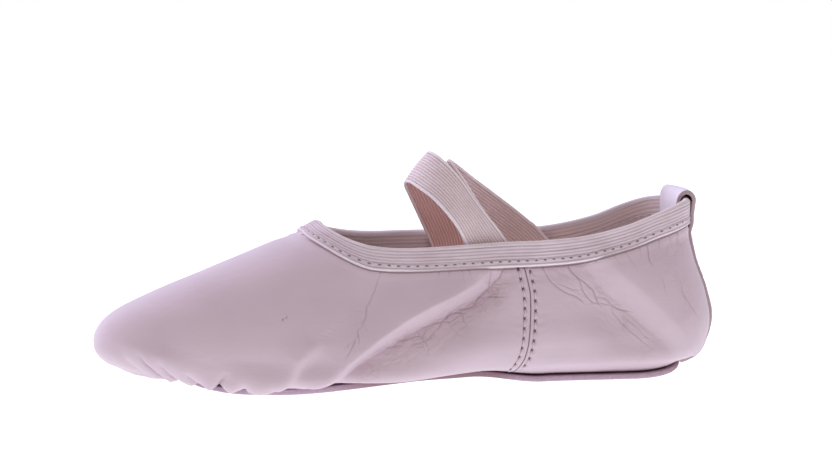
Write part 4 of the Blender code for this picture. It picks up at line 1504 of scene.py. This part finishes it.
class Paint:
    """A material whose nodes are added one call at a time."""

    def __init__(self, name, roughness):
        self.material = bpy.data.materials.new(name)
        self.material.use_nodes = True
        self.tree = self.material.node_tree
        self.shader = self.tree.nodes["Principled BSDF"]
        self.shade("Roughness", roughness)
        place = self.tree.nodes.new("ShaderNodeTexCoord").outputs["Object"]
        self.place = self.mapped(place, (1 / MM, 1 / MM, 1 / MM))

    def node(self, kind, settings, output=0, **inputs):
        return add_node(self.tree, kind, settings, output, **inputs)

    def shade(self, name, value):
        fill(self.tree, self.shader.inputs[name], value)

    def fact(self, name):
        return self.node("ShaderNodeAttribute", {"attribute_name": name}, 2)

    def math(self, operation, a, b=0, c=0):
        return self.node("ShaderNodeMath", {"operation": operation}, _0=a, _1=b, _2=c)

    def times(self, a, b, plus=0):
        return self.math("MULTIPLY_ADD", a, b, plus)

    def mapped(self, place, scale, rotation=(0, 0, 0), kind="POINT"):
        settings = {"vector_type": kind}
        return self.node("ShaderNodeMapping", settings, Vector=place, Rotation=rotation, Scale=scale)

    def noise(self, grain, detail=2, place=None, output=0):
        """Noise with a grain in millimetres, from about 0 to 1."""
        inputs = {"Vector": place or self.place, "Scale": 1 / grain, "Detail": detail}
        return self.node("ShaderNodeTexNoise", {}, output, **inputs)

    def blotches(self, grain, detail, low, high, end=1):
        return self.ramp(self.noise(grain, detail), low, high, 0, end)

    def cells(self, size, width, place=None):
        """Net of lines between scattered cells of a size, as a share of it wide."""
        inputs = {"Vector": place or self.place, "Scale": 1 / size}
        edges = self.node("ShaderNodeTexVoronoi", {"feature": "DISTANCE_TO_EDGE"}, **inputs)
        return self.ramp(edges, 0, width, 1, 0)

    def wave(self, along, pitch, sway=0):
        """Wave from 0 to 1 along a distance in millimetres."""
        phase = self.times(along, 2 * math.pi / pitch, sway)
        return self.times(self.math("SINE", phase), 0.5, 0.5)

    def ramp(self, value, low, high, start=0, end=1):
        """Value moved from the range low to high into the range start to end."""
        return self.node(
            "ShaderNodeMapRange", {"interpolation_type": "SMOOTHSTEP"},
            Value=value, From_Min=low, From_Max=high, To_Min=start, To_Max=end,
        )

    def coated(self, colour, *coats):
        """Colour under coats of (factor, colour, share of the factor)."""
        for factor, coat, share in coats:
            factor = self.times(factor, share)
            colour = self.node("ShaderNodeMix", {"data_type": "RGBA"}, 2, _0=factor, _6=colour, _7=coat)
        return colour

    def done(self, colour, specular, *bumps):
        """Finish the material with bumps of (height, depth in millimetres), below 0 inwards."""
        under = {}
        for height, depth in bumps:
            inputs = {"Height": height, "Strength": 1, "Distance": abs(depth) * MM, **under}
            under = {"Normal": self.node("ShaderNodeBump", {"invert": depth < 0}, **inputs)}
        self.shade("Normal", under["Normal"])
        self.shade("Base Color", colour)
        self.shade("Specular IOR Level", specular)
        return self.material


def leather(name, colours, roughness):
    """Soft, fine-grained leather with faint mottling and grain, creases and netted wrinkles drawn also in
    painted shade, and painted shade in needle holes and pleat openings.
    """
    paint = Paint(name, roughness)
    pale, deep = colours
    line = paint.times(paint.ramp(paint.fact("line"), 0.66, 0.95), paint.fact("deep"))
    swayed = paint.node(
        "ShaderNodeVectorMath", {"operation": "MULTIPLY_ADD"},
        _0=paint.noise(2.6, 2, output=1), _1=(1.8, 1.8, 1.8), _2=paint.place,
    )
    net, wrinkled = 0, 0
    for lean, angle in NET_LEANS.items():
        strength = paint.fact(lean)
        leaning = paint.mapped(swayed, NET_MESH, (0, angle, 0), "TEXTURE")
        net = paint.math("MAXIMUM", paint.times(paint.cells(1, 0.085, leaning), strength), net)
        wrinkled = paint.math("MAXIMUM", strength, wrinkled)
    finely = paint.times(paint.cells(0.8, 0.14), paint.times(wrinkled, 0.5, 0.1))
    grain = paint.noise(0.55, 3)
    streaks = paint.noise(1, 3, paint.mapped(paint.place, STREAK_SCALE, STREAK_TURN))
    paint.shade("Roughness", paint.times(line, 0.2, paint.times(grain, 0.14, roughness - 0.07)))
    colour = paint.coated(
        pale,
        (paint.blotches(22, 3, 0.35, 0.65), deep, 0.35),
        (wrinkled, WRINKLED_ZONE_COLOUR, 0.25),
        # painted shade along the net and the creases
        (net, PAINTED_SHADE_COLOUR, 0.32),
        (line, PAINTED_SHADE_COLOUR, 0.42),
        # painted shade in needle holes, pleat openings and the tab's loop
        (paint.ramp(paint.fact("hole"), 0.35, 0.8), HOLE_SHADE_COLOUR, 1),
        (paint.fact("pit"), HOLE_SHADE_COLOUR, 1),
    )
    return paint.done(
        colour, 0.38, (net, -0.08), (line, -0.12), (finely, -0.04), (grain, 0.03), (streaks, 0.1),
        (paint.noise(2.6, 3), 0.05),
    )


def elastic(name, colours, roughness):
    """Ribbed elastic: threads across the ribs and fuzz, with painted shade in its grooves and needle holes,
    painted bounced light making its inner face warmer, and on the binding a painted highlight along its
    fold.
    """
    paint = Paint(name, roughness)
    pale, deep, bounce_colour = colours
    thread = paint.wave(paint.fact("along"), THREAD_SPACING, paint.times(paint.noise(2.2), 1.2))
    fuzz = paint.noise(0.8, 3)
    colour = paint.coated(
        pale,
        (paint.blotches(9, 3, 0.3, 0.7, 0.25), deep, 1),
        # painted bounced light on the inner face
        (paint.fact("inside"), bounce_colour, 1),
        (thread, deep, 0.06),
        # paler plain edges, and the binding's painted highlight along its fold
        (paint.fact("plain"), PLAIN_AND_HIGHLIGHT_COLOUR, 0.6),
        # painted shade in the grooves between the ribs and in the needle holes
        (paint.fact("groove"), deep, 0.64),
        (paint.ramp(paint.fact("hole"), 0.4, 0.95), BAND_HOLE_SHADE_COLOUR, 1),
    )
    paint.shade("Roughness", paint.times(fuzz, 0.12, roughness - 0.06))
    return paint.done(colour, 0.25, (fuzz, 0.02), (thread, 0.012))


def cloth(name, colours):
    """Plain cotton with a fine square weave."""
    paint = Paint(name, 0.85)
    pale, deep = colours
    weave = 1
    for direction in ("X", "Z"):
        inputs = {"Vector": paint.place, "Scale": 0.9, "Distortion": 0.6}
        wave = paint.node("ShaderNodeTexWave", {"bands_direction": direction}, 1, **inputs)
        weave = paint.times(wave, weave)
    colour = paint.coated(pale, (paint.blotches(12, 4, 0.3, 0.7), deep, 1), (weave, deep, 0.3))
    return paint.done(colour, 0.2, (paint.noise(1.5, 3), 0.05), (weave, 0.08))


def suede(name, colours):
    """Split leather of the sole: napped below, with a compressed, layered rim, painted shade on the rim
    where the waist is raised and painted shade in the stitch channel.
    """
    paint = Paint(name, 0.85)
    face, edge, worn = colours
    nap = paint.noise(0.7, 4)
    rim = paint.coated(edge, (paint.blotches(0.9, 3, 0.3, 0.7, 0.5), worn, 1))
    colour = paint.coated(
        face,
        (paint.blotches(14, 4, 0.35, 0.65), worn, 0.5),
        (nap, worn, 0.3),
        (paint.fact("rim"), rim, 1),
        # painted shade on the rim at the raised waist
        (paint.fact("waisted"), PAINTED_SHADE_COLOUR, 0.75),
        # painted shade in the stitch channel's cut
        (paint.fact("cut"), HOLE_SHADE_COLOUR, 0.7),
    )
    return paint.done(colour, 0.25, (paint.noise(3), 0.1), (nap, 0.12))


def yarn(name, colours):
    """Twisted sewing thread."""
    paint = Paint(name, 0.6)
    pale, deep = colours
    twist = paint.wave(paint.fact("along"), TWIST_PITCH)
    colour = paint.coated(pale, (twist, deep, 0.35))
    return paint.done(colour, 0.35, (paint.math("MAXIMUM", twist, paint.noise(0.3)), 0.04))


# --- floor, lights and camera ---
def make_stage():
    paint = Paint("floor_paper", 0.9)
    shade = paint.ramp(paint.noise(260, 2), 0.3, 0.7)
    paint.shade("Base Color", paint.coated(FLOOR_COLOUR, (shade, FLOOR_SHADE, 1)))
    paint.shade("Emission Color", FLOOR_GLOW)
    paint.shade("Emission Strength", 1)
    mesh = bpy.data.meshes.new("floor")
    signs = ((-1, -1), (1, -1), (1, 1), (-1, 1))
    mesh.from_pydata([(x * FLOOR_REACH, y * FLOOR_REACH, 0) for x, y in signs], [], [(0, 1, 2, 3)])
    mesh.materials.append(paint.material)
    floor = bpy.data.objects.new("floor", mesh)
    bpy.context.scene.collection.objects.link(floor)

    world = bpy.data.worlds.new("studio")
    world.use_nodes = True
    bpy.context.scene.world = world
    tree = world.node_tree
    towards = tree.nodes.new("ShaderNodeTexCoord").outputs["Generated"]
    total = (0, 0, 0)
    for glow in GLOWS:
        facing = add_node(
            tree, "ShaderNodeVectorMath", {"operation": "DOT_PRODUCT"}, "Value", _0=towards, _1=glow.towards
        )
        facing = add_node(tree, "ShaderNodeMath", {"operation": "MAXIMUM"}, _0=facing, _1=0)
        facing = add_node(tree, "ShaderNodeMath", {"operation": "POWER"}, _0=facing, _1=glow.tightness)
        total = add_node(
            tree, "ShaderNodeVectorMath", {"operation": "MULTIPLY_ADD"}, _0=facing, _1=glow.colour, _2=total
        )
    around = tree.nodes["Background"]
    fill(tree, around.inputs["Color"], total)
    backdrop = add_node(tree, "ShaderNodeBackground", {}, Color=(1, 1, 1))
    seen = add_node(tree, "ShaderNodeLightPath", {}, "Is Camera Ray")
    chosen = add_node(tree, "ShaderNodeMixShader", {}, _0=seen, _1=around.outputs[0], _2=backdrop)
    fill(tree, tree.nodes["World Output"].inputs[0], chosen)


def make_inner_light():
    lamp = bpy.data.lights.new("inner_light", "AREA")
    lamp.shape = "RECTANGLE"
    lamp.size, lamp.size_y = INNER_LIGHT_SIZE
    lamp.energy = INNER_LIGHT_POWER
    lamp.color = INNER_LIGHT_COLOUR
    light = bpy.data.objects.new("inner_light", lamp)
    light.location = INNER_LIGHT_PLACE
    light.rotation_euler = (math.pi, 0, 0)
    light.visible_camera = False
    bpy.context.scene.collection.objects.link(light)


def make_camera():
    lens = bpy.data.cameras.new("camera")
    lens.lens = CAMERA_LENS
    lens.sensor_width = CAMERA_SENSOR
    lens.clip_start = 0.01
    camera = bpy.data.objects.new("camera", lens)
    azimuth, pitch = math.radians(CAMERA_AZIMUTH), math.radians(CAMERA_PITCH)
    level = math.cos(pitch)
    looks = Vector((math.sin(azimuth) * level, math.cos(azimuth) * level, -math.sin(pitch)))
    camera.location = Vector((0, 0, CAMERA_PIVOT_HEIGHT)) - looks * CAMERA_DISTANCE
    towards = Vector(CAMERA_AIM) - camera.location
    camera.rotation_mode = "QUATERNION"
    camera.rotation_quaternion = towards.to_track_quat("-Z", "Y")
    bpy.context.scene.collection.objects.link(camera)
    bpy.context.scene.camera = camera
    bpy.context.scene.view_settings.view_transform = "Standard"


def main():
    skin = leather("slipper_leather", SKIN_COLOURS, 0.46)
    tab = leather("strip_leather", TAB_LIT_COLOURS, 0.48)
    raw = suede("raw_edge", RAW_COLOURS)
    lining = cloth("lining_cotton", LINING_COLOURS)
    sock = cloth("sock_cotton", SOCK_COLOURS)
    thread = yarn("sewing_thread", THREAD_COLOURS)
    ribbed = elastic("binding_elastic", BINDING_COLOURS, 0.8)
    webbing = elastic("strap_elastic", STRAP_COLOURS, 0.8)
    sole = suede("sole_suede", SOLE_COLOURS)
    make_upper((skin, lining), thread)
    make_binding((ribbed,), thread)
    make_back_strip((tab, raw), thread)
    for seed, strap in enumerate(STRAPS):
        make_strap(strap, (webbing,), 120 + seed * 10)
    make_outsole((sole,), thread)
    insole_height = UNDERSIDE + WALL + INSOLE_GAP
    make_flat("sock", INSOLE, insole_height, INSOLE_THICKNESS, (sock,), "insole", "sock_lining", 131)
    make_stage()
    make_inner_light()
    make_camera()


main()
